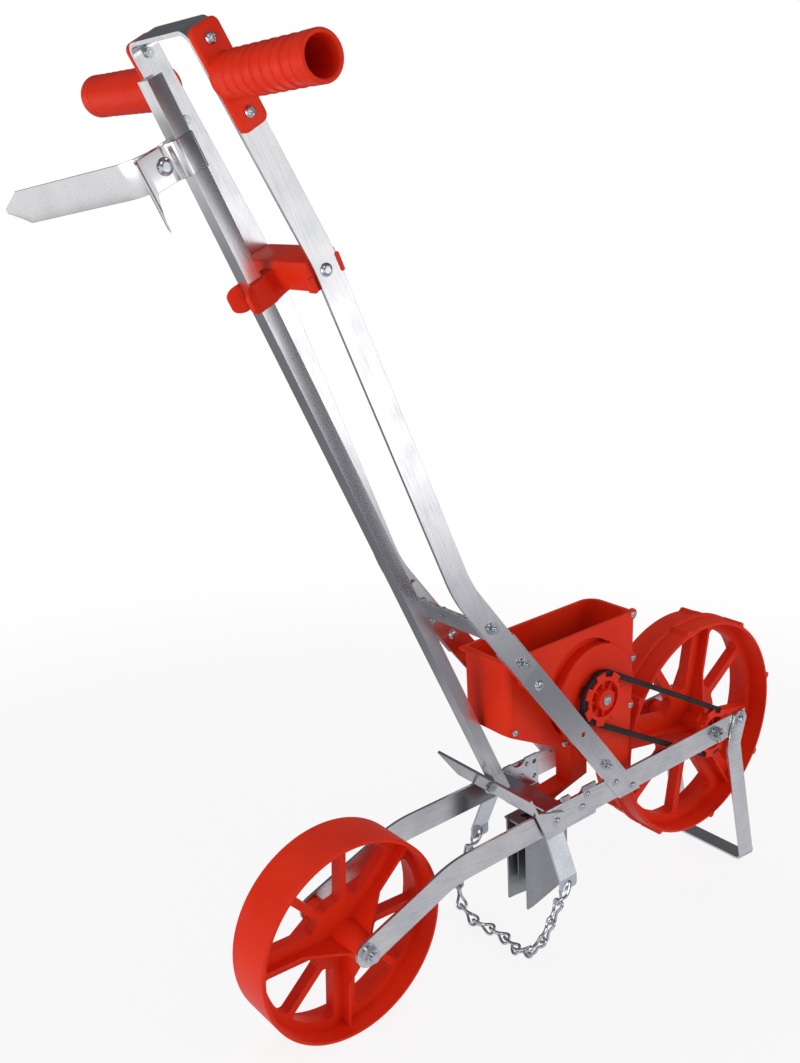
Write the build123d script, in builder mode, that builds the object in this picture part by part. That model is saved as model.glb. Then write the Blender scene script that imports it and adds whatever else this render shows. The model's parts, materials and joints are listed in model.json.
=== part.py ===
from build123d import *
from math import atan2, cos, degrees, hypot, radians, sin, tan
import os

os.makedirs("parts", exist_ok=True)

# A walk-behind seed planter, standing on its rear wheel and its stand. Sizes in mm.
# +X forward, +Y left, +Z up; the origin lies on the floor under the middle of the stand foot.
# Points are written in the machine's own frame: x forward from the rear axle, z up from the
# floor with both wheels down. The stand lifts the nose by stand_tilt.

# Overall sizes
wheelbase = 534.0
rear_r = 106.7
front_r = 140.0
stand_tilt = 5.84
foot_x = wheelbase + 70.0
handle_top = (-78.6, 915.4)
grip_length = 121.0

# Flat bar stock and frame
bar_t = 3.2
rail_in = 46.5
rail_w = 29.0
rail_z = 145.0
rail_end = wheelbase + 56.0
rail_bend_x = 112.0
rail_bend_r = 120.0
lower_bar_w = 27.5
handle_w = 24.5
stand_w = 25.4
splay = 0.98

# Fits
fit = 0.05
gap = 0.35

# Fasteners
axle_r = 5.0
bolt_r = 3.0
rivet_r = 2.5
screw_r = 2.0
pivot_r = 3.0

# Seed drive
drive = (337.5, 257.5)
axle_z = 143.5
belt_r = 3.2
belt_pitch_r = 29.0
belt_y = -40.6
plate_r = 54.0
shaft_r = 6.0

# Hopper
hopper_right = -31.0
hopper_left = 33.0
rim_z = 338.5
wall = 3.0
boss_r = 60.0
boss_proud = 3.6
boss_wall = 2.0

# Row marker
marker_pivot = (226.5, 178.0)
marker_y = 10.0
marker_lean = 24.3
marker_top = 789.0
marker_deep = 14.0
marker_wide = 16.0
marker_wall = 1.6
strip_half = 13.0
clamp_at = 729.3
clamp_t = 1.2
clamp_w = 28.5

# Drag chain
chain_x = 251.0
chain_hole_z = 77.0
chain_y = 70.5
chain_links = 13
wire_r = 1.5
link_wide = 5.0
link_play = 0.7

rail_out = rail_in + bar_t
bar_out = rail_out + bar_t
tilt_c = cos(radians(stand_tilt))
tilt_s = sin(radians(stand_tilt))


# Frame helpers
def stood(x, z):
    """Machine x and z to floor x and z, before the origin is moved under the stand foot."""
    return tilt_c * x - tilt_s * (z - rear_r), tilt_s * x + tilt_c * (z - rear_r) + rear_r


def floor_z(x):
    """Machine height of the floor under machine x."""
    return rear_r - (rear_r + tilt_s * x) / tilt_c


origin_x = stood(foot_x, floor_z(foot_x))[0]


def point(x, y, z):
    """World point of a machine point."""
    px, pz = stood(x, z)
    return (px - origin_x, y, pz)


def heading(dx, dz):
    """World direction of a machine direction in the side view."""
    return (tilt_c * dx - tilt_s * dz, 0, tilt_s * dx + tilt_c * dz)


ahead = heading(1, 0)
upward = heading(0, 1)
upright = Axis((0, 0, 0), upward)


def side(y):
    """Side-view plane at y: sketch x and y are machine x and z, and it extrudes to the right."""
    return Plane(origin=point(0, y, 0), x_dir=ahead, z_dir=(0, -1, 0))


def deck(z):
    """Plan-view plane at height z: sketch x and y are machine x and y, and it extrudes up."""
    return Plane(origin=point(0, 0, z), x_dir=ahead, z_dir=upward)


def section(x):
    """Cross-section plane at x: sketch x and y are machine y and z, and it extrudes forward."""
    return Plane(origin=point(x, 0, 0), x_dir=(0, 1, 0), z_dir=ahead)


def spot(x, y, z, out):
    """Plane for a fastener at a point; out is -1 for one facing right and 1 for one facing left."""
    return Plane(origin=point(x, y, z), x_dir=ahead, z_dir=(0, out, 0))


def on_both_sides(places, y, facing_in=False):
    """Fastener planes on the right and on the left at distance y from the mid-plane."""
    turn = -1 if facing_in else 1
    return [spot(x, s * y, z, s * turn) for x, z in places for s in (-1, 1)]


def save(made, name):
    """Label a finished part and write it."""
    made.part.label = name
    export_step(made.part, f"parts/{name}.step")


# Fastener patterns
def bolt(shank_r, length, head_r, head_h):
    """Dome-headed bolt or rivet: head above its plane, shank below."""
    with BuildPart() as made:
        with BuildSketch(Plane.XZ):
            with BuildLine():
                Polyline(
                    (0, -length), (shank_r, -length), (shank_r, 0), (head_r, 0), (head_r, 0.2 * head_h)
                )
                ThreePointArc(
                    (head_r, 0.2 * head_h), (0.78 * head_r, 0.72 * head_h), (0.3 * head_r, head_h)
                )
                Polyline((0.3 * head_r, head_h), (0, head_h), (0, -length))
            make_face()
        revolve(axis=Axis.Z)
    return made.part


def nut(shank_r, across, height):
    """Hexagon nut with a flange, standing on its plane."""
    with BuildPart() as made:
        Cylinder(0.62 * across, 0.25 * height, align=(Align.CENTER, Align.CENTER, Align.MIN))
        with BuildSketch():
            RegularPolygon(across / 2, 6, major_radius=False)
        extrude(amount=height)
        Hole(shank_r + fit)
    return made.part


def set_of(pattern, planes):
    """One node of equal fasteners, a solid at each plane."""
    with BuildPart() as made:
        with Locations(*planes):
            add(pattern)
    return made


def mirrored(made):
    """The left-hand twin of a right-hand part."""
    with BuildPart() as twin:
        mirror(made.part, about=Plane.XZ)
    return twin


# Fastener places
bracket_rivet = [(chain_x, 146.0)]
opener_bolts_at = [(296.7, 141.8), (304.8, 154.0)]
bar_rivets_at = [(347.8, 152.7), (376.0, 138.0)]
bar_low_bolt = (332.8, 181.2)
bar_spare_hole = (295.7, 232.8)
hopper_bolt = (230.5, 312.6)
leg_bolt = (205.5, 346.2)
brace_bolt = (165.9, 395.7)
spacer_bolt = (6.7, 749.5)
stand_pivot = (wheelbase + 42.0, 148.0)
stand_pin_r = 4.0

# Rails
with BuildPart() as right_rail:
    with BuildSketch(side(-rail_in)):
        with BuildLine():
            FilletPolyline((0, rear_r), (rail_bend_x, rail_z), (rail_end, rail_z), radius=rail_bend_r)
        trace(line_width=rail_w)
        with Locations((0, rear_r)):
            Circle(rail_w / 2)
        with Locations((0, rear_r), (wheelbase, axle_z)):
            Circle(axle_r + fit, mode=Mode.SUBTRACT)
        with Locations(*bracket_rivet, *opener_bolts_at, *bar_rivets_at):
            Circle(rivet_r + fit, mode=Mode.SUBTRACT)
        with Locations(stand_pivot):
            Circle(stand_pin_r + fit, mode=Mode.SUBTRACT)
    extrude(amount=bar_t)
    chamfer(right_rail.edges().filter_by(Axis.Y).sort_by(SortBy.LENGTH).group_by(Axis.X)[-1], 4)
save(right_rail, "right_rail")
save(mirrored(right_rail), "left_rail")

# Lower handle bars, cut flush with the rails' lower edges
bar_run = (bar_low_bolt[0] - leg_bolt[0], bar_low_bolt[1] - leg_bolt[1])
bar_length = hypot(*bar_run)
bar_dir = (bar_run[0] / bar_length, bar_run[1] / bar_length)
with BuildPart() as right_lower_bar:
    with BuildSketch(side(-rail_out)):
        with BuildLine():
            Line(
                (leg_bolt[0] - 32 * bar_dir[0], leg_bolt[1] - 32 * bar_dir[1]),
                (bar_low_bolt[0] + 90 * bar_dir[0], bar_low_bolt[1] + 90 * bar_dir[1]),
            )
        trace(line_width=lower_bar_w)
        with Locations((bar_low_bolt[0], rail_z - rail_w / 2)):
            Rectangle(200, 100, align=(Align.CENTER, Align.MAX), mode=Mode.SUBTRACT)
        with Locations(bar_low_bolt, bar_spare_hole, hopper_bolt, leg_bolt):
            Circle(bolt_r + fit, mode=Mode.SUBTRACT)
        with Locations(*bar_rivets_at):
            Circle(rivet_r + fit, mode=Mode.SUBTRACT)
    extrude(amount=bar_t)
save(right_lower_bar, "right_lower_bar")
save(mirrored(right_lower_bar), "left_lower_bar")

# Handle: two bent legs that lean together, joined by a crosspiece
leg_base = 384.0
leg_end = (214.0, 332.0)
leg_knee = (132.0, 441.0)
leg_elbow = (6.0, 757.0)
lean_in = radians(splay)
leg_normal = tuple(-cos(lean_in) * a + sin(lean_in) * b for a, b in zip((0, 1, 0), upward))


def leg_plane(out):
    """Plane of the right leg, out from its inner face: sketch x and y are machine x and z."""
    start = point(0, -bar_out, leg_base)
    lifted = tuple(a + out * n for a, n in zip(start, leg_normal))
    shift = Plane(origin=lifted, x_dir=ahead, z_dir=leg_normal)
    return Plane(origin=shift.from_local_coords((0, -leg_base, 0)), x_dir=ahead, z_dir=leg_normal)


top_run = (handle_top[0] - leg_elbow[0], handle_top[1] - leg_elbow[1])
top_length = hypot(*top_run)
leg_up = (top_run[0] / top_length, top_run[1] / top_length)
leg_across = (leg_up[1], -leg_up[0])
corner_start = 25.0
corner_r = 10.0
corner_rise = 14.0
corner_lap = 1.0
leg_stop = (handle_top[0] - corner_start * leg_up[0], handle_top[1] - corner_start * leg_up[1])
grip_screw_pitch = 28.0
grip_at = (-66.0, 893.0)


def along_leg(distance):
    """Machine point on the leg's upper centre line, measured from the grip axis."""
    return (grip_at[0] + distance * leg_up[0], grip_at[1] + distance * leg_up[1])


grip_screws_at = [along_leg(-grip_screw_pitch), along_leg(grip_screw_pitch)]


def leg_face_y(z, out=0.0):
    """Distance from the mid-plane to the leg's inner face, or out from it, at height z."""
    return bar_out + out - (z - leg_base) * tan(lean_in)


with BuildPart() as handle:
    with BuildSketch(leg_plane(0)):
        with BuildLine():
            FilletPolyline(leg_end, leg_knee, leg_elbow, leg_stop, radius=150)
        trace(line_width=handle_w)
        with Locations(leg_bolt, brace_bolt, spacer_bolt):
            Circle(bolt_r + 2 * fit, mode=Mode.SUBTRACT)
        with Locations(grip_screws_at[0]):
            Circle(screw_r + 2 * fit, mode=Mode.SUBTRACT)
    extrude(amount=bar_t)
    mirror(handle.part, about=Plane.XZ)
    corner_low = leg_face_y(leg_stop[1] - corner_lap * leg_up[1], bar_t / 2)
    corner_high = leg_face_y(handle_top[1] + corner_rise * leg_up[1], bar_t / 2)
    corner_plane = Plane(
        origin=point(handle_top[0], 0, handle_top[1]), x_dir=(0, 1, 0), z_dir=heading(*leg_across)
    )
    with BuildSketch(corner_plane):
        with BuildLine():
            FilletPolyline(
                (-corner_low, -corner_start - corner_lap),
                (-corner_high, corner_rise),
                (corner_high, corner_rise),
                (corner_low, -corner_start - corner_lap),
                radius=corner_r,
            )
        trace(line_width=bar_t)
    extrude(amount=handle_w / 2, both=True)
    with BuildSketch(side(rail_out)):
        with Locations(grip_screws_at[1]):
            Circle(screw_r + 2 * fit)
    extrude(amount=2 * rail_out, mode=Mode.SUBTRACT)
save(handle, "handle_loop")

# Brace strap between the legs
low_run = (leg_knee[0] - leg_end[0], leg_knee[1] - leg_end[1])
low_length = hypot(*low_run)
low_up = (low_run[0] / low_length, low_run[1] / low_length)
low_across = (low_up[1], -low_up[0])
brace_half = 17.0
brace_deep = 9.0
brace_mid = (brace_bolt[0] + 8 * low_up[0], brace_bolt[1] + 8 * low_up[1])
brace_y = leg_face_y(brace_bolt[1] + brace_half + 16) - 0.05
brace_hole_r = 4.0
brace_section = Plane(
    origin=point(brace_mid[0], 0, brace_mid[1]), x_dir=(0, 1, 0), z_dir=heading(*low_up)
)
with BuildPart() as handle_brace:
    with BuildSketch(brace_section):
        with BuildLine():
            FilletPolyline(
                (-brace_y + bar_t / 2, -brace_deep),
                (-brace_y + bar_t / 2, brace_deep),
                (brace_y - bar_t / 2, brace_deep),
                (brace_y - bar_t / 2, -brace_deep),
                radius=4,
            )
        trace(line_width=bar_t)
    extrude(amount=brace_half, both=True)
    with BuildSketch(side(bar_out)):
        with Locations(brace_bolt):
            Circle(bolt_r + fit)
    extrude(amount=2 * bar_out, mode=Mode.SUBTRACT)
    brace_face = Plane(
        origin=point(brace_mid[0], 0, brace_mid[1]), x_dir=(0, 1, 0), z_dir=heading(*low_across)
    )
    with BuildSketch(brace_face):
        with Locations((0, 4)):
            Circle(brace_hole_r)
    extrude(amount=20, both=True, mode=Mode.SUBTRACT)
save(handle_brace, "handle_brace")

# Spacer block between the legs, with the clip for the marker bar
spacer_half = leg_face_y(spacer_bolt[1] + 17) - 0.1
spacer_tall = 26.0
spacer_rear = 14.0
spacer_front = 17.0
mid_run = (leg_elbow[0] - leg_knee[0], leg_elbow[1] - leg_knee[1])
mid_length = hypot(*mid_run)
mid_up = (mid_run[0] / mid_length, mid_run[1] / mid_length)
mid_across = (mid_up[1], -mid_up[0])


def spacer_xz(across, along):
    """Machine point in the spacer block, from its bolt."""
    return (
        spacer_bolt[0] + across * mid_across[0] + along * mid_up[0],
        spacer_bolt[1] + across * mid_across[1] + along * mid_up[1],
    )


with BuildPart() as handle_spacer:
    with BuildSketch(side(spacer_half)):
        with BuildLine():
            Polyline(
                spacer_xz(-spacer_rear, -spacer_tall / 2),
                spacer_xz(spacer_front, -spacer_tall / 2),
                spacer_xz(spacer_front, spacer_tall / 2),
                spacer_xz(-spacer_rear, spacer_tall / 2),
                close=True,
            )
        make_face()
    extrude(amount=2 * spacer_half)
    fillet(handle_spacer.edges().filter_by(Axis.Y), 3)
    with BuildSketch(side(spacer_half)):
        with Locations(spacer_bolt):
            Circle(bolt_r + fit)
    extrude(amount=2 * spacer_half, mode=Mode.SUBTRACT)
save(handle_spacer, "handle_spacer")

# Row marker frame: u runs up the bar, n is square to it and points forward
lean = radians(marker_lean)
marker_u = (-sin(lean), cos(lean))
marker_n = (cos(lean), sin(lean))


def marker_xz(n, u):
    """Machine point at n and u from the marker pivot."""
    return (
        marker_pivot[0] + n * marker_n[0] + u * marker_u[0],
        marker_pivot[1] + n * marker_n[1] + u * marker_u[1],
    )


def marker_section(u):
    """Plane across the marker bar: sketch x and y are n and y, and it extrudes up the bar."""
    x, z = marker_xz(0, u)
    return Plane(origin=point(x, marker_y, z), x_dir=heading(*marker_n), z_dir=heading(*marker_u))


def marker_face(n):
    """Plane parallel to the bar's rear face: sketch x and y are y and u, and it extrudes along n."""
    x, z = marker_xz(n, 0)
    return Plane(origin=point(x, marker_y, z), x_dir=(0, 1, 0), z_dir=heading(*marker_n))


bar_rear = -marker_deep / 2
strip_front = bar_rear - gap
strip_rear = strip_front - bar_t
with BuildPart() as marker_bar:
    with BuildSketch(marker_section(-strip_half + 1)):
        Rectangle(marker_deep, marker_wide)
        with Locations((marker_wall, 0)):
            Rectangle(marker_deep, marker_wide - 2 * marker_wall, mode=Mode.SUBTRACT)
    extrude(amount=marker_top + strip_half - 1)
    with BuildSketch(marker_face(bar_rear)):
        Circle(pivot_r + fit)
    extrude(amount=marker_wall, mode=Mode.SUBTRACT)
save(marker_bar, "marker_bar")

# Strip that carries the marker, its right end bent forward onto the right rail
tab_in = rail_out + 2.5 + 0.1
strip_right = -tab_in - bar_t - marker_y
with BuildPart() as marker_strip:
    with BuildSketch(marker_face(strip_rear)):
        with BuildLine():
            Polyline(
                (strip_right, -strip_half),
                (62, -strip_half),
                (84, strip_half),
                (strip_right, strip_half),
                close=True,
            )
        make_face()
        Circle(pivot_r + fit, mode=Mode.SUBTRACT)
    extrude(amount=bar_t)
    with BuildSketch(side(-tab_in)):
        with BuildLine():
            Polyline(
                marker_xz(strip_rear, -strip_half - 10),
                marker_xz(strip_rear, strip_half),
                marker_xz(strip_front, strip_half),
                marker_xz(strip_front, -marker_wide / 2 - 1.5),
                (chain_x + 12, 153.0),
                (chain_x + 12, rail_z - rail_w / 2 - 1),
                (chain_x - 14, rail_z - rail_w / 2 - 1),
                close=True,
            )
        make_face()
        with Locations(*bracket_rivet):
            Circle(rivet_r + fit, mode=Mode.SUBTRACT)
    extrude(amount=bar_t)
save(marker_strip, "marker_strip")

# Marker pivot bolt and nut
pivot_head = 3.0
pivot_x, pivot_z = marker_xz(bar_rear + marker_wall + gap, 0)
head_plane = Plane(
    origin=point(pivot_x, marker_y, pivot_z), x_dir=(0, 1, 0), z_dir=heading(*marker_n)
)
nut_x, nut_z = marker_xz(strip_rear, 0)
nut_plane = Plane(
    origin=point(nut_x, marker_y, nut_z),
    x_dir=(0, 1, 0),
    z_dir=heading(-marker_n[0], -marker_n[1]),
)
pivot_long = marker_wall + 2 * gap + bar_t + 7
marker_pivot_bolt = set_of(bolt(pivot_r, pivot_long, 5.6, pivot_head), [head_plane])
save(marker_pivot_bolt, "marker_pivot_bolt")
marker_pivot_nut = set_of(nut(pivot_r, 10, 4.5), [nut_plane])
save(marker_pivot_nut, "marker_pivot_nut")

# Clip that holds the upright marker bar: a neck on the spacer and two round-ended fingers
clip_at = (731.0 - marker_pivot[1]) / marker_u[1]
clip_w = 22.0
finger_t = 5.0
finger_in = marker_wide / 2 + gap
finger_reach = -20.0
clip_back = marker_deep / 2 + gap
neck_half = 7.0


def spacer_rear_n(u):
    """The n of the spacer's rear face at u, with a hair of room."""
    x, z = marker_xz(0, u)
    across = (x - spacer_bolt[0]) * mid_across[0] + (z - spacer_bolt[1]) * mid_across[1]
    slope = marker_n[0] * mid_across[0] + marker_n[1] * mid_across[1]
    return (-spacer_rear - 0.02 - across) / slope


with BuildPart() as marker_clip:
    with BuildSketch(marker_section(clip_at - clip_w / 2)):
        for s in (-1, 1):
            with Locations(((finger_reach + clip_back) / 2 + finger_t / 2, s * (finger_in + finger_t / 2))):
                Rectangle(clip_back + finger_t - finger_reach, finger_t)
            with Locations((finger_reach, s * (finger_in + finger_t / 2))):
                Circle(finger_t / 2)
        with Locations((clip_back + finger_t / 2, 0)):
            Rectangle(finger_t, 2 * (finger_in + finger_t))
    extrude(amount=clip_w)
    low_u = clip_at - clip_w / 2 + 2
    high_u = clip_at + clip_w / 2 - 2
    with BuildSketch(side(marker_y + neck_half)):
        with BuildLine():
            Polyline(
                marker_xz(clip_back + 1, low_u),
                marker_xz(spacer_rear_n(low_u), low_u),
                marker_xz(spacer_rear_n(high_u), high_u),
                marker_xz(clip_back + 1, high_u),
                close=True,
            )
        make_face()
    extrude(amount=2 * neck_half)
save(marker_clip, "marker_clip")

# Marker clamp: one spring strip round the bar; its left leg runs on as the blade
side_y = marker_wide / 2 + gap + clamp_t / 2
front_n = marker_deep / 2 + gap + clamp_t / 2
corner_n = -marker_deep / 2 - 1.5
leg_y = 0.8
pinch_n = -11.0
thumb_n = -43.0
thumb_y = -13.0
thumb_down = 39.0
blade_bend = (-43.0, 21.0)
blade_tip = (-87.0, 174.0)
blade_cut = 11.0
clamp_rivet_n = -21.6
clamp_head_r = 7.0
blade_long = hypot(blade_tip[0] - blade_bend[0], blade_tip[1] - blade_bend[1])
blade_dir = tuple((tip - bend) / blade_long for tip, bend in zip(blade_tip, blade_bend))
with BuildPart() as marker_clamp:
    with BuildSketch(marker_section(clamp_at - clamp_w / 2)):
        with BuildLine():
            FilletPolyline(
                (thumb_n, leg_y),
                (pinch_n, leg_y),
                (corner_n, -side_y),
                (front_n, -side_y),
                (front_n, side_y),
                (corner_n, side_y),
                blade_bend,
                blade_tip,
                radius=1.0,
            )
        trace(line_width=clamp_t)
    extrude(amount=clamp_w)
    with BuildSketch(marker_face(thumb_n - clamp_t / 2)):
        with BuildLine():
            Polyline(
                (leg_y + clamp_t / 2, clamp_at + clamp_w / 2),
                (leg_y + clamp_t / 2, clamp_at - clamp_w / 2),
                (leg_y - 4, clamp_at - clamp_w / 2 - 6),
                (leg_y - 4, clamp_at - thumb_down),
                (thumb_y, clamp_at - thumb_down),
                (thumb_y, clamp_at + clamp_w / 2),
                close=True,
            )
        make_face()
    extrude(amount=clamp_t)
    blade_x = tuple(blade_dir[0] * a + blade_dir[1] * b for a, b in zip(heading(*marker_n), (0, 1, 0)))
    blade_z = tuple(-blade_dir[1] * a + blade_dir[0] * b for a, b in zip(heading(*marker_n), (0, 1, 0)))
    tip_x, tip_z = marker_xz(blade_tip[0], clamp_at)
    with BuildSketch(
        Plane(origin=point(tip_x, marker_y + blade_tip[1], tip_z), x_dir=blade_x, z_dir=blade_z)
    ):
        for s, point_at in ((1, 2.0), (-1, -2.0)):
            with BuildLine():
                Polyline(
                    (-blade_cut, s * clamp_w / 2),
                    (0, point_at),
                    (1, point_at),
                    (1, s * clamp_w),
                    (-blade_cut, s * clamp_w),
                    close=True,
                )
            make_face()
    extrude(amount=3, both=True, mode=Mode.SUBTRACT)
    rivet_x, rivet_z = marker_xz(clamp_rivet_n, clamp_at)
    with BuildSketch(Plane(origin=point(rivet_x, marker_y + 20, rivet_z), x_dir=ahead, z_dir=(0, -1, 0))):
        Circle(rivet_r + fit)
    extrude(amount=30, mode=Mode.SUBTRACT)
save(marker_clamp, "marker_clamp")
clamp_rivet = set_of(
    bolt(rivet_r, 17.0, clamp_head_r, 3.2),
    [spot(rivet_x, marker_y + leg_y - clamp_t / 2, rivet_z, -1)],
)
save(clamp_rivet, "clamp_rivet")

# Grips with a bolted flange, ribbed outside and hollow
flange_t = 4.5
flange_long = 80.0
flange_w = 27.0
grip_bore_r = 13.6
grip_root_r = 16.4
grip_tip_r = 17.3
ring_count = 9
flange_gap = 0.15
grip_axis = leg_plane(bar_t + flange_gap)
leg_tilt = degrees(atan2(leg_up[1], leg_up[0]))
with BuildPart() as right_grip:
    with BuildSketch(grip_axis):
        with Locations(Location((grip_at[0], grip_at[1], 0), (0, 0, leg_tilt))):
            RectangleRounded(flange_long, flange_w, 5)
        with Locations(*grip_screws_at):
            Circle(screw_r + fit, mode=Mode.SUBTRACT)
    extrude(amount=flange_t)
    turned = Plane(
        origin=grip_axis.from_local_coords((grip_at[0], grip_at[1], 0)), x_dir=leg_normal, z_dir=(0, 0, 1)
    )
    ring_pitch = (grip_length - flange_t - 4) / ring_count
    ring_step = (grip_tip_r - grip_root_r) / ring_count
    with BuildSketch(Plane(origin=turned.origin, x_dir=leg_normal, z_dir=ahead)):
        with BuildLine():
            for i in range(ring_count):
                a = flange_t + i * ring_pitch
                r = grip_root_r + i * ring_step
                ThreePointArc(
                    (a, r), (a + ring_pitch / 2, r + ring_step / 2 + 0.8), (a + ring_pitch, r + ring_step)
                )
            tip_at = flange_t + ring_count * ring_pitch
            ThreePointArc(
                (tip_at, grip_tip_r),
                (tip_at + 2.8, grip_tip_r - 1.2),
                (tip_at + 4, grip_tip_r - 3.4),
            )
            Polyline(
                (tip_at + 4, grip_tip_r - 3.4),
                (tip_at + 4, grip_bore_r),
                (flange_t + 2, grip_bore_r),
                (flange_t + 2, 0),
                (flange_t - 1, 0),
                (flange_t - 1, grip_root_r),
                (flange_t, grip_root_r),
            )
        make_face()
    revolve(axis=Axis(turned.origin, leg_normal))
save(right_grip, "right_grip")
save(mirrored(right_grip), "left_grip")
grip_stack = bar_t + flange_gap + flange_t


def leg_spots(places, out, facing_in=False):
    """Fastener planes square to both legs, out from their inner faces."""
    planes = []
    turn = -1 if facing_in else 1
    for x, z in places:
        foot = leg_plane(out).from_local_coords((x, z, 0))
        for s in (-1, 1):
            face = (leg_normal[0] * turn, -s * leg_normal[1] * turn, leg_normal[2] * turn)
            planes.append(Plane(origin=(foot.X, -s * foot.Y, foot.Z), x_dir=ahead, z_dir=face))
    return planes


grip_screws = set_of(bolt(screw_r, grip_stack + 4, 4.2, 2.2), leg_spots(grip_screws_at, grip_stack))
save(grip_screws, "grip_screws")
grip_nuts = set_of(nut(screw_r, 6.4, 3.0), leg_spots(grip_screws_at, -2 * flange_gap, facing_in=True))
save(grip_nuts, "grip_nuts")

# Handle bolts: round heads inside, nuts outside
lap_room = 0.9
handle_bolts = set_of(
    bolt(bolt_r, bar_t + 8, 5.5, 2.6),
    on_both_sides([bar_low_bolt], rail_out, facing_in=True),
)
save(handle_bolts, "lower_bar_bolts")
save(
    set_of(nut(bolt_r, 10, 4.5), on_both_sides([bar_low_bolt], bar_out)),
    "lower_bar_nuts",
)
leg_bolts = set_of(
    bolt(bolt_r, 2 * bar_t + lap_room + 8, 5.5, 2.6), on_both_sides([leg_bolt], rail_out, facing_in=True)
)
save(leg_bolts, "leg_bolts")
save(
    set_of(nut(bolt_r, 10, 4.5), on_both_sides([leg_bolt], bar_out + bar_t + lap_room)),
    "leg_nuts",
)
brace_in = brace_y - bar_t
brace_out = leg_face_y(brace_bolt[1] - 8, bar_t)
brace_bolts = set_of(
    bolt(bolt_r, brace_out - brace_in + 8, 4.4, 2.6), on_both_sides([brace_bolt], brace_in, facing_in=True)
)
save(brace_bolts, "brace_bolts")
save(set_of(nut(bolt_r, 10, 4.5), on_both_sides([brace_bolt], brace_out)), "brace_nuts")

# One long bolt through both legs and the spacer
spacer_out = leg_face_y(spacer_bolt[1] - 8, bar_t)
spacer_stud = set_of(
    bolt(bolt_r, 2 * spacer_out + 8, 5.5, 2.6), [spot(spacer_bolt[0], -spacer_out, spacer_bolt[1], -1)]
)
save(spacer_stud, "spacer_bolt")
save(set_of(nut(bolt_r, 10, 4.5), [spot(spacer_bolt[0], spacer_out, spacer_bolt[1], 1)]), "spacer_nut")

# Cross bracket: one strap over both rails, its ends flared out to hold the drag chain
strap_t = 2.5
strap_w = 25.0
tab_round = 4.0
strap_y = rail_out + strap_t / 2 + 0.05
strap_top = rail_z + rail_w / 2 + strap_t / 2 + 0.05
chain_hole_r = 4.2
strap_path = [
    (-chain_y, chain_hole_z - 6.5),
    (-chain_y, chain_hole_z + 7),
    (-strap_y, rail_z - rail_w / 2 - 2),
    (-strap_y, strap_top),
]
with BuildPart() as cross_bracket:
    with BuildSketch(section(chain_x - strap_w / 2)):
        with BuildLine():
            FilletPolyline(
                *strap_path, *[(-y, z) for y, z in reversed(strap_path)], radius=strap_t / 2 + 0.05
            )
        trace(line_width=strap_t)
    extrude(amount=strap_w)
    tab_corners = cross_bracket.edges().filter_by(Axis.Y).filter_by(lambda e: abs(e.length - strap_t) < 0.01)
    fillet(tab_corners, radius=tab_round)
    with BuildSketch(side(chain_y + 5)):
        with Locations((chain_x, chain_hole_z)):
            Circle(chain_hole_r)
        with Locations(*bracket_rivet):
            Circle(rivet_r + fit)
    extrude(amount=2 * (chain_y + 5), mode=Mode.SUBTRACT)
save(cross_bracket, "cross_bracket")

# Drag chain: welded links, each square to the next, hung from both arms with its middle on the floor
chain_at = Vector(point(chain_x, 0, chain_hole_z))
lying = 0.71 * link_wide + wire_r + 0.5
chain_route = [
    (0, -chain_y, chain_at.Z),
    (-8, 3 - chain_y, chain_at.Z - 20),
    (-14, 6 - chain_y, 62),
    (-20, 9 - chain_y, 42),
    (-25, 16 - chain_y, 24),
    (-28, 30 - chain_y, lying + 6),
    (-25, -20, lying),
    (-19, 3, lying),
    (-22, 26, lying),
    (-27, 46, lying + 1),
    (-29, chain_y - 9, lying + 8),
    (-27, chain_y + 3, 32),
    (-22, chain_y + 7, 54),
    (-14, chain_y + 5, 77),
    (0, chain_y, chain_at.Z),
]
with BuildLine() as chain_line:
    Spline(*[(chain_at.X + x, y, z) for x, y, z in chain_route])
chain_joints = [chain_line.edges()[0].position_at(i / chain_links) for i in range(chain_links + 1)]


def chain_link(half):
    """One closed link along x, its wire ends half from the middle."""
    straight = half - link_wide
    with BuildPart() as link:
        with BuildLine(Plane.XY) as link_line:
            Polyline((-straight, link_wide), (straight, link_wide))
            ThreePointArc((straight, link_wide), (half, 0), (straight, -link_wide))
            Polyline((straight, -link_wide), (-straight, -link_wide))
            ThreePointArc((-straight, -link_wide), (-half, 0), (-straight, link_wide))
        with BuildSketch(Plane(origin=(0, link_wide, 0), x_dir=(0, 1, 0), z_dir=(1, 0, 0))):
            Circle(wire_r)
        sweep(path=link_line.wire())
    return link.part


with BuildPart() as drag_chain:
    for i in range(chain_links):
        run = chain_joints[i + 1] - chain_joints[i]
        along = run.normalized()
        level = Vector(1, 0, 0) - along * along.X
        roll = 45 * sin(radians(180 * i / (chain_links - 1))) + (90 if i % 2 else 0)
        face = level.normalized().rotate(Axis((0, 0, 0), along), roll)
        middle = (chain_joints[i] + chain_joints[i + 1]) * 0.5
        with Locations(Plane(origin=middle, x_dir=along, z_dir=face)):
            add(chain_link(run.length / 2 + wire_r + link_play))
save(drag_chain, "drag_chain")

# Rivets through rails, bracket and bars
rivet_head = 2.4
bracket_rivets = set_of(
    bolt(rivet_r, bar_t + strap_t + 0.1 + bar_t + 2, 5.0, rivet_head),
    [spot(chain_x, -tab_in - bar_t, 146.0, -1)],
)
with BuildPart() as bracket_rivet_pair:
    add(bracket_rivets.part)
    with Locations(spot(chain_x, rail_out + strap_t + 0.1, 146.0, 1)):
        add(bolt(rivet_r, bar_t + strap_t + 2, 5.0, rivet_head))
save(bracket_rivet_pair, "bracket_rivets")
bar_rivets = set_of(bolt(rivet_r, 2 * bar_t + 2, 4.6, rivet_head), on_both_sides(bar_rivets_at, bar_out))
save(bar_rivets, "lower_bar_rivets")

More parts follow.
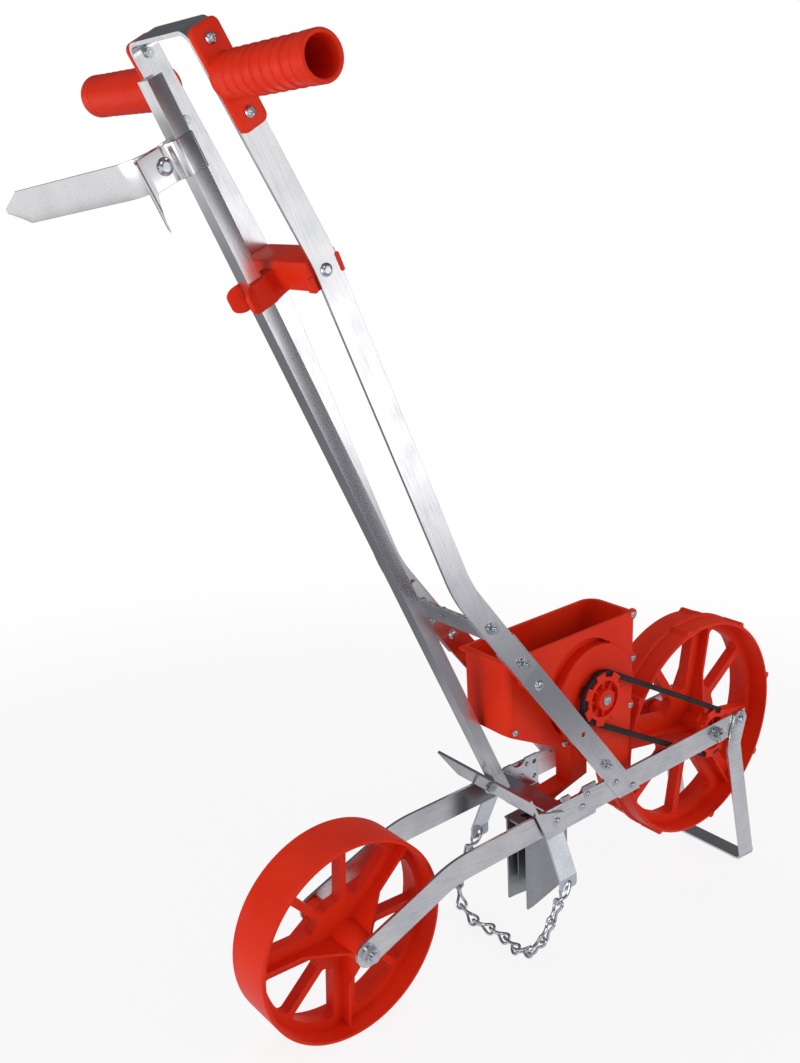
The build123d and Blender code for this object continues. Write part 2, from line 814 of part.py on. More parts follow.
# Opener: bracket between the rails, furrow opener below and seed guide inside it
opener_t = 2.5
opener_low = 18.0
opener_bracket_z = 118.5
flange_in = rail_in - 0.02
with BuildPart() as opener_bracket:
    with BuildSketch(section(268)):
        with BuildLine():
            FilletPolyline(
                (-flange_in + opener_t / 2, 163),
                (-flange_in + opener_t / 2, opener_bracket_z + 3),
                (flange_in - opener_t / 2, opener_bracket_z + 3),
                (flange_in - opener_t / 2, 163),
                radius=4,
            )
        trace(line_width=opener_t)
    extrude(amount=54)
    with BuildSketch(side(rail_in)):
        with Locations(*opener_bolts_at):
            Circle(rivet_r + fit)
        with Locations((316, 154), (275, 154), (316, 135)):
            Circle(3)
        with Locations((291, 168)):
            Circle(12)
    extrude(amount=2 * rail_in, mode=Mode.SUBTRACT)
    with BuildSketch(deck(opener_bracket_z - 5)):
        with Locations((300, 0)):
            Rectangle(44, 26)
    extrude(amount=15, mode=Mode.SUBTRACT)
save(opener_bracket, "opener_bracket")
opener_rivets = set_of(
    bolt(rivet_r, bar_t + opener_t + 2, 4.6, rivet_head), on_both_sides(opener_bolts_at, rail_out)
)
save(opener_rivets, "opener_bolts")

opener_under = opener_bracket_z + 3 - opener_t / 2 - 0.02
with BuildPart() as furrow_opener:
    with BuildSketch(deck(opener_low)):
        with BuildLine():
            FilletPolyline((243, 15), (252, 14.5), (335, 0), (252, -14.5), (243, -15), radius=3)
        trace(line_width=opener_t)
    extrude(amount=opener_under - opener_low)
    with BuildSketch(deck(opener_under)):
        with BuildLine():
            Polyline((246, 22), (318, 22), (318, -22), (246, -22), close=True)
        make_face()
        with Locations((290, 0)):
            Rectangle(60, 24, mode=Mode.SUBTRACT)
    extrude(amount=-opener_t)
    with BuildSketch(side(40)):
        with BuildLine():
            Polyline((338, 130), (334, 80), (321, 26), (300, 10), (360, 10), (360, 130), close=True)
        make_face()
    extrude(amount=80, mode=Mode.SUBTRACT)
save(furrow_opener, "furrow_opener")

with BuildPart() as seed_guide:
    with BuildSketch(deck(40)):
        with BuildLine():
            FilletPolyline((252, 8), (256, 8), (300, 2.6), (300, -2.6), (256, -8), (252, -8), radius=1.5)
        trace(line_width=1.5)
    extrude(amount=opener_under - opener_t - 0.02 - 40)
    with BuildSketch(deck(opener_under - opener_t - 0.02)):
        with Locations((255, 0)):
            Rectangle(15, 18)
    extrude(amount=-1.5)
save(seed_guide, "seed_guide")

# Hopper: bin, right cover with the seed housing, chute
bin_outline = [(205, rim_z), (205, 254), (286, 211), (350, 211), (398, 222), (401, rim_z)]
bin_hollow = [
    (205 + wall, rim_z + 20),
    (205 + wall, 254 + 0.7 * wall),
    (286 + 0.3 * wall, 211 + wall),
    (350, 211 + wall),
    (398 - wall, 222 + wall),
    (401 - wall, rim_z + 20),
]
cover_screws_at = [(400, 335), (400, 282), (396, 225), (289, 216), (216, 255.5)]
cover_rear = 214.0
lug_r = 6.5
lip = 3.0
rim_band = 6.0
right_round = 10.0
left_round = 5.0
front_round = 16.0
bin_right = hopper_right + wall
screw_long = 12.0
screw_end = hopper_right + screw_long + 2
chute_half = 11.5
chute_x = (318.5, 345.0)
spout_x = 284.0
chute_top = 211.0
with BuildPart() as bin_space:
    with BuildSketch(side(hopper_left - wall)):
        with BuildLine():
            Polyline(*bin_hollow, close=True)
        make_face()
    extrude(amount=hopper_left - wall - bin_right)
    inner_corners = bin_space.edges().filter_by(upright).sort_by(Axis.Y)
    fillet(inner_corners[0], right_round - wall)
    fillet(bin_space.edges().filter_by(upright).sort_by(Axis.Y)[-1], left_round - wall)
    front_rise = Axis((0, 0, 0), heading(3, rim_z + 20 - 222 - wall))
    fillet(bin_space.edges().filter_by(front_rise).sort_by(Axis.Y)[-1], front_round - wall)
with BuildPart() as bin_rim:
    with BuildSketch(deck(rim_z)) as rim_plan:
        with Locations((303, (hopper_left + hopper_right) / 2)):
            Rectangle(196 + 2 * lip, hopper_left - hopper_right + 2 * lip)
        rear_right, rear_left = rim_plan.vertices().group_by(Axis.X)[0].sort_by(Axis.Y)
        fillet(rear_right, right_round + lip)
        fillet(rear_left, left_round + lip)
        fillet(rim_plan.vertices().group_by(Axis.X)[-1].sort_by(Axis.Y)[-1], front_round + lip)
    extrude(amount=-rim_band)
    fillet(bin_rim.edges().filter_by(upright, reverse=True), 0.4 * rim_band)
with BuildPart() as hopper_bin:
    with BuildSketch(side(hopper_left)):
        with BuildLine():
            Polyline(*bin_outline, close=True)
        make_face()
    extrude(amount=hopper_left - hopper_right)
    fillet(hopper_bin.edges().filter_by(upright).sort_by(Axis.Y)[0], right_round)
    fillet(hopper_bin.edges().filter_by(upright).sort_by(Axis.Y)[-1], left_round)
    front_rise = Axis((0, 0, 0), heading(3, rim_z - 222))
    fillet(hopper_bin.edges().filter_by(front_rise).sort_by(Axis.Y)[-1], front_round)
    add(bin_rim.part)
    add(bin_space.part, mode=Mode.SUBTRACT)
    with BuildSketch(side(bin_right)):
        with Locations((cover_rear, 280)):
            Rectangle(250, 200, align=(Align.MIN, Align.CENTER))
        with Locations(*cover_screws_at):
            Circle(lug_r + fit)
    extrude(amount=2 * wall + lip, mode=Mode.SUBTRACT)
    with BuildSketch(side(screw_end)):
        with Locations(*cover_screws_at):
            Circle(4)
    extrude(amount=screw_end - bin_right)
    with BuildSketch(side(screw_end - 1)):
        with Locations(*cover_screws_at):
            Circle(screw_r + fit)
    extrude(amount=screw_end - 1 - bin_right, mode=Mode.SUBTRACT)
    with BuildSketch(side(rail_out - 0.02)):
        with Locations(hopper_bolt):
            Circle(9)
    extrude(amount=rail_out - hopper_left)
    with BuildSketch(deck(205)):
        with Locations(((chute_x[0] + chute_x[1]) / 2, 0)):
            Rectangle(chute_x[1] - chute_x[0] - 2 * wall, 2 * chute_half - 2 * wall)
    extrude(amount=20, mode=Mode.SUBTRACT)
    with BuildSketch(side(rail_out + 1)):
        with Locations(hopper_bolt):
            Circle(bolt_r + fit)
    extrude(amount=rail_out - hopper_left + 8, mode=Mode.SUBTRACT)
save(hopper_bin, "hopper_bin")

cover_out = hopper_right - boss_proud
pocket_at = (322.0, 271.0)
pocket_r = 57.0
pocket_y = -21.0
with BuildPart() as hopper_cover:
    with BuildSketch(side(bin_right - 0.02)):
        with BuildLine():
            Polyline(*bin_outline, close=True)
        make_face()
        with Locations((cover_rear + fit, 280)):
            Rectangle(50, 200, align=(Align.MAX, Align.CENTER), mode=Mode.SUBTRACT)
        with Locations(*cover_screws_at):
            Circle(lug_r)
        with BuildLine():
            Polyline((345, 220), (356, 148), (392, 148), (398, 222), close=True)
        make_face()
    extrude(amount=wall - 0.02)
    with BuildSketch(side(pocket_y)):
        with Locations(pocket_at):
            Circle(pocket_r + 2)
        with Locations(drive):
            Circle(boss_r)
        with BuildLine():
            Polyline(*bin_hollow, close=True)
        make_face(mode=Mode.INTERSECT)
        offset(amount=-0.3, mode=Mode.REPLACE)
    extrude(amount=pocket_y - bin_right + 1)
    with BuildSketch(side(hopper_right)):
        with Locations(drive):
            Circle(boss_r)
    extrude(amount=boss_proud)
    fillet(hopper_cover.faces().sort_by(Axis.Y)[0].edges().sort_by(SortBy.LENGTH)[-1], 2)
    with BuildSketch(side(pocket_y - 2)):
        with Locations(pocket_at):
            Circle(pocket_r)
        with Locations(drive):
            Circle(boss_r, mode=Mode.SUBTRACT)
    extrude(amount=20, mode=Mode.SUBTRACT)
    with BuildSketch(side(pocket_y)):
        with Locations(drive):
            Circle(plate_r + 1.5)
    extrude(amount=pocket_y - cover_out - boss_wall, mode=Mode.SUBTRACT)
    with BuildSketch(side(pocket_y)):
        with Locations(drive):
            Circle(shaft_r + fit)
        with Locations(*cover_screws_at):
            Circle(screw_r + fit)
    extrude(amount=30, mode=Mode.SUBTRACT)
    with BuildSketch(side(hopper_right)):
        with Locations((357, 306)):
            SlotOverall(20, 8, rotation=80)
    extrude(amount=-1.5, mode=Mode.SUBTRACT)
    with BuildSketch(side(hopper_right)):
        with Locations(hopper_bolt):
            Circle(9)
            Circle(bolt_r + fit, mode=Mode.SUBTRACT)
    extrude(amount=hopper_right + rail_out - 0.02)
save(hopper_cover, "hopper_cover")

cover_screws = set_of(
    bolt(screw_r, screw_long, 3.6, 1.8), [spot(x, hopper_right, z, -1) for x, z in cover_screws_at]
)
save(cover_screws, "cover_screws")

hopper_bolts = set_of(
    bolt(bolt_r, bar_t + 12, 5.5, 2.6), on_both_sides([hopper_bolt], bar_out)
)
save(hopper_bolts, "hopper_bolts")

with BuildPart() as seed_chute:
    with BuildSketch(side(chute_half)):
        with BuildLine():
            Polyline(
                (chute_x[0], chute_top - 0.02),
                (chute_x[0], 149),
                (spout_x, 146),
                (spout_x, 137),
                (chute_x[1], 150),
                (chute_x[1], chute_top - 0.02),
                close=True,
            )
        make_face()
    extrude(amount=2 * chute_half)
    with BuildSketch(side(chute_half - wall)):
        with BuildLine():
            Polyline(
                (chute_x[0] + wall, chute_top + 5),
                (chute_x[0] + wall, 146.3),
                (spout_x + wall, 143.2),
                (spout_x + wall, 130),
                (chute_x[1] - wall, 130),
                (chute_x[1] - wall, chute_top + 5),
                close=True,
            )
        make_face()
    extrude(amount=2 * (chute_half - wall), mode=Mode.SUBTRACT)
save(seed_chute, "seed_chute")

# Seed drive: plate, shaft, pulley and its screw turn together
plate_y = cover_out + boss_wall + 0.5
plate_t = 3.4
with BuildPart() as seed_plate:
    with BuildSketch(side(plate_y + plate_t)):
        with Locations(drive):
            Circle(plate_r)
            Circle(shaft_r + fit, mode=Mode.SUBTRACT)
            with PolarLocations(plate_r - 8, 18):
                Circle(3.5, mode=Mode.SUBTRACT)
    extrude(amount=plate_t)
save(seed_plate, "seed_plate")

groove_half = belt_r + 0.4
pulley_flange = 1.6
pulley_half = groove_half + pulley_flange
core_r = belt_pitch_r - belt_r - 0.4
tooth_r = belt_pitch_r + 2.0
tooth_count = 7
tooth_angle = 100.7
dish_deep = 6.5
dish_r = 21.0
hub_r = 12.0
hub_out = 3.0


def pulley(centre, bore, reach):
    """Belt pulley with a ribbed dish, its teeth taking turns on either side of the belt."""
    right = belt_y - pulley_half
    with BuildPart() as made:
        with BuildSketch(side(belt_y + pulley_half)):
            with Locations(centre):
                Circle(core_r)
        extrude(amount=2 * pulley_half)
        for s in (-1, 1):
            half_turn = 180 / tooth_count if s > 0 else 0
            with BuildSketch(side(belt_y + s * groove_half + (pulley_flange if s > 0 else 0))):
                with Locations(centre):
                    with PolarLocations(tooth_r - 5, tooth_count, start_angle=tooth_angle + half_turn):
                        Rectangle(10, 13)
            extrude(amount=pulley_flange)
        with BuildSketch(side(right)):
            with Locations(centre):
                Circle(dish_r)
        extrude(amount=-dish_deep, mode=Mode.SUBTRACT)
        with BuildSketch(side(right + dish_deep)):
            with Locations(centre):
                with PolarLocations((dish_r + hub_r) / 2, 8):
                    Rectangle(dish_r - hub_r + 2, 2.6)
        extrude(amount=dish_deep - 2.5)
        with BuildSketch(side(right + dish_deep)):
            with Locations(centre):
                Circle(hub_r)
        extrude(amount=dish_deep + reach)
        with BuildSketch(side(belt_y + pulley_half)):
            with Locations(centre):
                Circle(bore)
        extrude(amount=2 * pulley_half + reach, mode=Mode.SUBTRACT)
    return made


driven_pulley = pulley(drive, shaft_r + fit, hub_out)
save(driven_pulley, "driven_pulley")

shaft_in = plate_y + plate_t + 3
shaft_out = belt_y - pulley_half - hub_out - 1.0
with BuildPart() as seed_shaft:
    with BuildSketch(side(shaft_in)):
        with Locations(drive):
            Circle(shaft_r)
    extrude(amount=shaft_in - shaft_out)
    with BuildSketch(side(shaft_out)):
        with Locations(drive):
            Circle(screw_r)
    extrude(amount=-12, mode=Mode.SUBTRACT)
save(seed_shaft, "seed_shaft")
hub_screw = set_of(bolt(screw_r, 11, 5.0, 2.0), [spot(drive[0], shaft_out, drive[1], -1)])
save(hub_screw, "hub_screw")

# Belt round both pulleys
front_axle = (wheelbase, axle_z)
belt_run = (front_axle[0] - drive[0], front_axle[1] - drive[1])
belt_long = hypot(*belt_run)
belt_dir = (belt_run[0] / belt_long, belt_run[1] / belt_long)
belt_plane = Plane(
    origin=point(drive[0], belt_y, drive[1]), x_dir=heading(*belt_dir), z_dir=(0, -1, 0)
)
with BuildPart() as drive_belt:
    with BuildLine(belt_plane) as belt_line:
        Line((0, belt_pitch_r), (belt_long, belt_pitch_r))
        ThreePointArc((belt_long, belt_pitch_r), (belt_long + belt_pitch_r, 0), (belt_long, -belt_pitch_r))
        Line((belt_long, -belt_pitch_r), (0, -belt_pitch_r))
        ThreePointArc((0, -belt_pitch_r), (-belt_pitch_r, 0), (0, belt_pitch_r))
    belt_start = belt_plane.from_local_coords((0, belt_pitch_r, 0))
    with BuildSketch(Plane(origin=belt_start, z_dir=heading(*belt_dir))):
        Circle(belt_r)
    sweep(path=belt_line.wire())
save(drive_belt, "drive_belt")

# Wheels: rim, web with eight spokes of two widths, hub that reaches the rails
spoke_pitch = 45.0
spoke_count = 8
wide_spokes = (0, 3, 5)
rib_t = 3.0
web_t = 13.0
window_round = 5.0
rim_t = 4.0
hub_reach = rail_in - gap
rear_half = 27.5
front_half = 28.0
lug_h = 4.0
lug_count = 8


def wheel(centre, radius, half, first_angle, hub_right, lugs):
    """Moulded wheel; first_angle is the first wide spoke, and lugs gives it a cleated tread."""
    hub = Plane(origin=point(centre[0], 0, centre[1]), x_dir=ahead, z_dir=(0, -1, 0))
    turning = Plane(origin=hub.origin, x_dir=(0, -1, 0), z_dir=ahead)
    tread = radius - (lug_h if lugs else 0.0)
    inner = tread - rim_t
    body_r = 15.0
    hub_end = 12.5
    rib_rise = min(hub_reach, hub_right) - 7.0
    window_low = 0.36 * radius
    window_high = inner - 0.085 * radius
    narrow = 0.075 * radius
    wide = 0.25 * radius
    with BuildPart() as made:
        with BuildSketch(turning):
            with BuildLine():
                Polyline(
                    (-half, inner),
                    (-half, tread - 1.5),
                    (-half + 1.5, tread),
                    (half - 1.5, tread),
                    (half, tread - 1.5),
                    (half, inner),
                    (3, inner - 2),
                    (-3, inner - 2),
                    close=True,
                )
            make_face()
            with BuildLine():
                Polyline(
                    (-hub_reach, axle_r + fit),
                    (-hub_reach, hub_end),
                    (-0.6 * half, body_r),
                    (0.6 * half, body_r),
                    (hub_right, hub_end),
                    (hub_right, axle_r + fit),
                    close=True,
                )
            make_face()
        revolve(axis=Axis(hub.origin, (0, 1, 0)))
        with BuildSketch(hub):
            Circle(inner)
            Circle(body_r - 2, mode=Mode.SUBTRACT)
        extrude(amount=web_t / 2, both=True)
        with BuildSketch(hub) as windows:
            Circle(window_high)
            Circle(window_low, mode=Mode.SUBTRACT)
            for i in range(spoke_count):
                with Locations(Location((0, 0, 0), (0, 0, first_angle - i * spoke_pitch))):
                    Rectangle(
                        radius,
                        wide if i in wide_spokes else narrow,
                        align=(Align.MIN, Align.CENTER),
                        mode=Mode.SUBTRACT,
                    )
            fillet(windows.vertices(), window_round)
        extrude(amount=web_t, both=True, mode=Mode.SUBTRACT)
        for i in wide_spokes:
            spoke_angle = radians(first_angle - i * spoke_pitch)
            spoke = Vector(heading(cos(spoke_angle), sin(spoke_angle)))
            with BuildSketch(Plane(origin=hub.origin, x_dir=spoke, z_dir=spoke.cross(hub.z_dir))):
                with BuildLine():
                    Polyline(
                        (body_r - 5, rib_rise),
                        (body_r - 1, rib_rise),
                        (0.5 * radius, 0.6 * half),
                        (inner + 1, 0.6 * half),
                        (inner + 1, -0.6 * half),
                        (0.5 * radius, -0.6 * half),
                        (body_r - 1, -rib_rise),
                        (body_r - 5, -rib_rise),
                        close=True,
                    )
                make_face()
            extrude(amount=rib_t / 2, both=True)
        if lugs:
            with BuildSketch(turning):
                with BuildLine():
                    Polyline(
                        (-5, tread - 1), (-2.5, radius - 1), (2.5, radius - 1), (5, tread - 1), close=True
                    )
                make_face()
            revolve(axis=Axis(hub.origin, (0, 1, 0)))
            for s in (-1, 1):
                with BuildSketch(hub):
                    lug_angle = first_angle + (180 / lug_count if s > 0 else 0)
                    with PolarLocations(tread - 1, lug_count, start_angle=lug_angle):
                        Trapezoid(13, lug_h + 1, 48, align=(Align.CENTER, Align.MIN), rotation=-90)
                extrude(amount=s * (half - 1))
    return made


save(wheel((0, rear_r), rear_r, rear_half, 41.0, hub_reach, False), "rear_wheel")
pulley_in = -(belt_y + pulley_half) - 0.02
save(wheel(front_axle, front_r, front_half, -56.0, pulley_in, True), "front_wheel")
save(pulley(front_axle, axle_r + fit, 0), "wheel_pulley")

# Axles: a long bolt through both rails, its nut on the right
axle_bolt = bolt(axle_r, 2 * rail_out + 10, 9.0, 5.0)
axle_nut = nut(axle_r, 15, 7)
for name, (x, z) in (("rear_axle", (0, rear_r)), ("front_axle", front_axle)):
    save(set_of(axle_bolt, [spot(x, rail_out, z, 1)]), name)
    save(set_of(axle_nut, [spot(x, -rail_out, z, -1)]), f"{name}_nut")

# Stand: a flat bar bent as a wide U, pivoting on the rails' front ends
stand_knee = (wheelbase + 32.0, 117.0)
stand_in = rail_out + gap
stand_out = stand_in + bar_t
stand_turn = degrees(atan2(stand_knee[1] - stand_pivot[1], stand_knee[0] - stand_pivot[0]))
below_floor = 30.0
floor_run = (foot_x - stand_knee[0], floor_z(foot_x) - stand_knee[1])
run_length = hypot(*floor_run)
stand_low = tuple(a + below_floor * b / run_length for a, b in zip((foot_x, floor_z(foot_x)), floor_run))
with BuildPart() as stand:
    with BuildSketch(side(-stand_in)):
        with BuildLine():
            FilletPolyline(stand_pivot, stand_knee, stand_low, radius=25)
        trace(line_width=stand_w)
        with Locations(stand_pivot):
            RegularPolygon(stand_w / 2, 8, major_radius=False, rotation=stand_turn + 22.5)
            Circle(stand_pin_r + fit, mode=Mode.SUBTRACT)
    extrude(amount=bar_t)
    split(bisect_by=Plane.XY, keep=Keep.TOP)
    mirror(stand.part, about=Plane.XZ)
    with BuildSketch(Plane.XY):
        Rectangle(stand_w, 2 * stand_out)
    extrude(amount=bar_t)
save(stand, "stand")
stand_pins = set_of(
    bolt(stand_pin_r, 2 * bar_t + 2 * gap + 2, 6.5, 3.0), on_both_sides([stand_pivot], stand_out + gap)
)
save(stand_pins, "stand_pins")
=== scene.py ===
"""Looks of a walk-behind seed planter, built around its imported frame, in metres."""

import json
import logging
import math
from dataclasses import dataclass, replace
from enum import Enum

import bmesh
import bpy
import numpy as np
from mathutils import Matrix, Vector


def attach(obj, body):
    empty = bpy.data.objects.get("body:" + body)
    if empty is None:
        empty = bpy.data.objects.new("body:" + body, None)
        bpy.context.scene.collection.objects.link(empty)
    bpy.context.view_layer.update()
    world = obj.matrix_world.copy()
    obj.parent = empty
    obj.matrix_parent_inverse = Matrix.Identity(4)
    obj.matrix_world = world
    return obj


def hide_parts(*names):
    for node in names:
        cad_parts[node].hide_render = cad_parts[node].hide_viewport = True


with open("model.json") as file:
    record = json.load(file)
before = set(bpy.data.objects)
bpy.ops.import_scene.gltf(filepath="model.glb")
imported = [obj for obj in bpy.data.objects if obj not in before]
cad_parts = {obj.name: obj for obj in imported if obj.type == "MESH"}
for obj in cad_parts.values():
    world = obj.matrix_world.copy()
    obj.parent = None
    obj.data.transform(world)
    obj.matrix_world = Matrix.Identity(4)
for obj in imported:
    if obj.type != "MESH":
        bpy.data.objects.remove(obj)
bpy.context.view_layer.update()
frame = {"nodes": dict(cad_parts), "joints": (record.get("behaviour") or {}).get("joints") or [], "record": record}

LOG = logging.getLogger("planter")
MM = 0.001
# Edges that turn by more than this stay sharp
SHARP_DEG = 35.0
# Points closer than this, in metres, are merged
WELD = 1e-7
JOINT = {joint["name"]: joint for joint in frame["joints"]}
REAR_AXLE = np.array(JOINT["rear_wheel_spin"]["pos_m"])


def linear(code: str) -> tuple[float, float, float, float]:
    """Turn an sRGB hex code into linear RGBA.

    Args:
        code: Six hex digits after a hash sign.

    Returns:
        Red, green, blue and alpha in linear light.
    """
    parts = [int(code[i : i + 2], 16) / 255 for i in (1, 3, 5)]
    return tuple(c / 12.92 if c <= 0.04045 else ((c + 0.055) / 1.055) ** 2.4 for c in parts) + (1.0,)


class Graph:
    """A material's node tree, with one call to add a node, set it and link it."""

    def __init__(
        self, name: str, tree: bpy.types.NodeTree | None = None, output: str = "OutputMaterial"
    ) -> None:
        """Start an empty tree with its output.

        Args:
            name: The material's name.
            tree: A tree to fill instead of a new material's.
            output: The output node's type after ShaderNode.
        """
        if tree is None:
            self.material = bpy.data.materials.new(name)
            self.material.use_nodes = True
            tree = self.material.node_tree
        self.tree = tree
        self.tree.nodes.clear()
        self.output = self.add(output)

    def add(self, kind: str, settings: dict | None = None, **sockets: object) -> bpy.types.Node:
        """Add one node with its settings and links.

        Args:
            kind: The node's type after ShaderNode.
            settings: Node properties by name.
            **sockets: Input values or output sockets, by name with _ for a space, or i0, i1 by place.

        Returns:
            The node.
        """
        node = self.tree.nodes.new("ShaderNode" + kind)
        for name, value in (settings or {}).items():
            setattr(node, name, value)
        for name, value in sockets.items():
            place = int(name[1:]) if name[0] == "i" and name[1:].isdigit() else name.replace("_", " ")
            socket = node.inputs[place]
            if isinstance(value, bpy.types.NodeSocket):
                self.tree.links.new(value, socket)
            else:
                socket.default_value = value
        return node

    def ramp(self, value: bpy.types.NodeSocket, stops: list[tuple[float, str]]) -> bpy.types.NodeSocket:
        """Colour a value by a ramp of hex codes.

        Args:
            value: The socket that drives the ramp.
            stops: Places from 0 to 1, each with its colour.

        Returns:
            The ramp's colour socket.
        """
        node = self.add("ValToRGB", i0=value)
        elements = node.color_ramp.elements
        while len(elements) < len(stops):
            elements.new(0.5)
        for element, (place, code) in zip(elements, stops):
            element.position = place
            element.color = linear(code)
        return node.outputs["Color"]

    def show(self, shader: bpy.types.Node) -> None:
        """Send a shader to the output."""
        self.tree.links.new(shader.outputs[0], self.output.inputs["Surface"])


@dataclass(frozen=True)
class MouldedPlastic:
    """Injection-moulded polypropylene: satin, with faint flow mottling and a fine spark-eroded grain."""

    name: str
    deep: str
    body: str
    light: str
    roughness: float = 0.4
    # The real grain is about 0.1 mm, drawn coarser so that it shows
    grain_mm: float = 0.8
    grain_deep_mm: float = 0.2
    grain_share: float = 0.05
    mottle_mm: float = 60.0
    edge_mm: float = 0.9
    ior: float = 1.49
    specular: float = 0.35

    def build(self) -> bpy.types.Material:
        """Make the material from flow mottling, grain bump and softened edges.

        Returns:
            The material.
        """
        g = Graph(self.name)
        place = g.add("TexCoord").outputs["Object"]
        flow = g.add("TexNoise", Vector=place, Scale=1000 / self.mottle_mm, Detail=3.0, Roughness=0.5)
        colour = g.ramp(flow.outputs["Fac"], [(0.25, self.deep), (0.5, self.body), (0.8, self.light)])
        grain = g.add("TexNoise", Vector=place, Scale=1000 / self.grain_mm, Detail=2.0, Roughness=0.6)
        soft = g.add("Bevel", {"samples": 4}, Radius=self.edge_mm * MM)
        bump = g.add(
            "Bump",
            Height=grain.outputs["Fac"],
            Strength=self.grain_share,
            Distance=self.grain_deep_mm * MM,
            Normal=soft.outputs[0],
        )
        sheen = g.add(
            "MapRange", i0=flow.outputs["Fac"], i3=self.roughness - 0.05, i4=self.roughness + 0.06
        )
        g.show(
            g.add(
                "BsdfPrincipled",
                Base_Color=colour,
                Roughness=sheen.outputs[0],
                IOR=self.ior,
                Specular_IOR_Level=self.specular,
                Normal=bump.outputs[0],
            )
        )
        return g.material


@dataclass(frozen=True)
class BareMetal:
    """Bare or plated metal: fine drawn lines along the stock, faint handling marks and softened edges."""

    name: str
    dark: str
    body: str
    light: str
    roughness: float = 0.3
    along: tuple[float, float, float] = (1.0, 0.0, 0.0)
    # Real drawing lines are under 0.1 mm, drawn coarser so that they show
    line_mm: float = 0.6
    line_long: float = 60.0
    line_deep_mm: float = 0.1
    line_depth: float = 0.06
    line_share: float = 0.6
    cloud_mm: float = 35.0
    edge_mm: float = 0.5

    def turn(self) -> tuple[float, float, float]:
        """Euler angles that lay the pattern's X axis along the stock."""
        return tuple(Vector((1, 0, 0)).rotation_difference(Vector(self.along)).inverted().to_euler())

    def build(self) -> bpy.types.Material:
        """Make the material from stretched lines, faint clouds, roughness changes and bump.

        Returns:
            The material.
        """
        g = Graph(self.name)
        place = g.add("TexCoord").outputs["Object"]
        laid = g.add("Mapping", Vector=place, Rotation=self.turn())
        fine = 1000 / self.line_mm
        drawn = g.add("Mapping", Vector=laid.outputs[0], Scale=(fine / self.line_long, fine, fine))
        lines = g.add("TexNoise", Vector=drawn.outputs[0], Scale=1.0, Detail=3.0, Roughness=0.6)
        clouds = g.add("TexNoise", Vector=place, Scale=1000 / self.cloud_mm, Detail=3.0, Roughness=0.55)
        tone = g.add("Math", {"operation": "MULTIPLY"}, i0=lines.outputs["Fac"], i1=self.line_share)
        mixed = g.add(
            "Math",
            {"operation": "MULTIPLY_ADD"},
            i0=clouds.outputs["Fac"],
            i1=1 - self.line_share,
            i2=tone.outputs[0],
        )
        colour = g.ramp(mixed.outputs[0], [(0.3, self.dark), (0.5, self.body), (0.7, self.light)])
        rough = g.add(
            "MapRange",
            i0=mixed.outputs[0],
            i1=0.3,
            i2=0.7,
            i3=self.roughness + 0.05,
            i4=self.roughness - 0.04,
        )
        soft = g.add("Bevel", {"samples": 4}, Radius=self.edge_mm * MM)
        bump = g.add(
            "Bump",
            Height=lines.outputs["Fac"],
            Strength=self.line_depth,
            Distance=self.line_deep_mm * MM,
            Normal=soft.outputs[0],
        )
        g.show(
            g.add(
                "BsdfPrincipled",
                Base_Color=colour,
                Roughness=rough.outputs[0],
                Metallic=1.0,
                Normal=bump.outputs[0],
            )
        )
        return g.material


@dataclass(frozen=True)
class BeltRubber:
    """Cured black rubber: matt, slightly dusty, with a fine pebble grain."""

    name: str = "cured black rubber"
    dark: str = "#0E0E0F"
    dusty: str = "#232327"
    roughness: float = 0.6
    # The real pebble is about 0.3 mm, drawn coarser so that it shows
    grain_mm: float = 1.2
    grain_deep_mm: float = 0.3
    grain_share: float = 0.25
    dust_mm: float = 16.0

    def build(self) -> bpy.types.Material:
        """Make the material from two scales of noise, dust in the colour and pebble in the bump.

        Returns:
            The material.
        """
        g = Graph(self.name)
        place = g.add("TexCoord").outputs["Object"]
        dust = g.add("TexNoise", Vector=place, Scale=1000 / self.dust_mm, Detail=4.0)
        grain = g.add("TexNoise", Vector=place, Scale=1000 / self.grain_mm, Detail=2.0)
        colour = g.ramp(dust.outputs["Fac"], [(0.35, self.dark), (0.8, self.dusty)])
        bump = g.add(
            "Bump",
            Height=grain.outputs["Fac"],
            Strength=self.grain_share,
            Distance=self.grain_deep_mm * MM,
        )
        g.show(g.add("BsdfPrincipled", Base_Color=colour, Roughness=self.roughness, Normal=bump.outputs[0]))
        return g.material


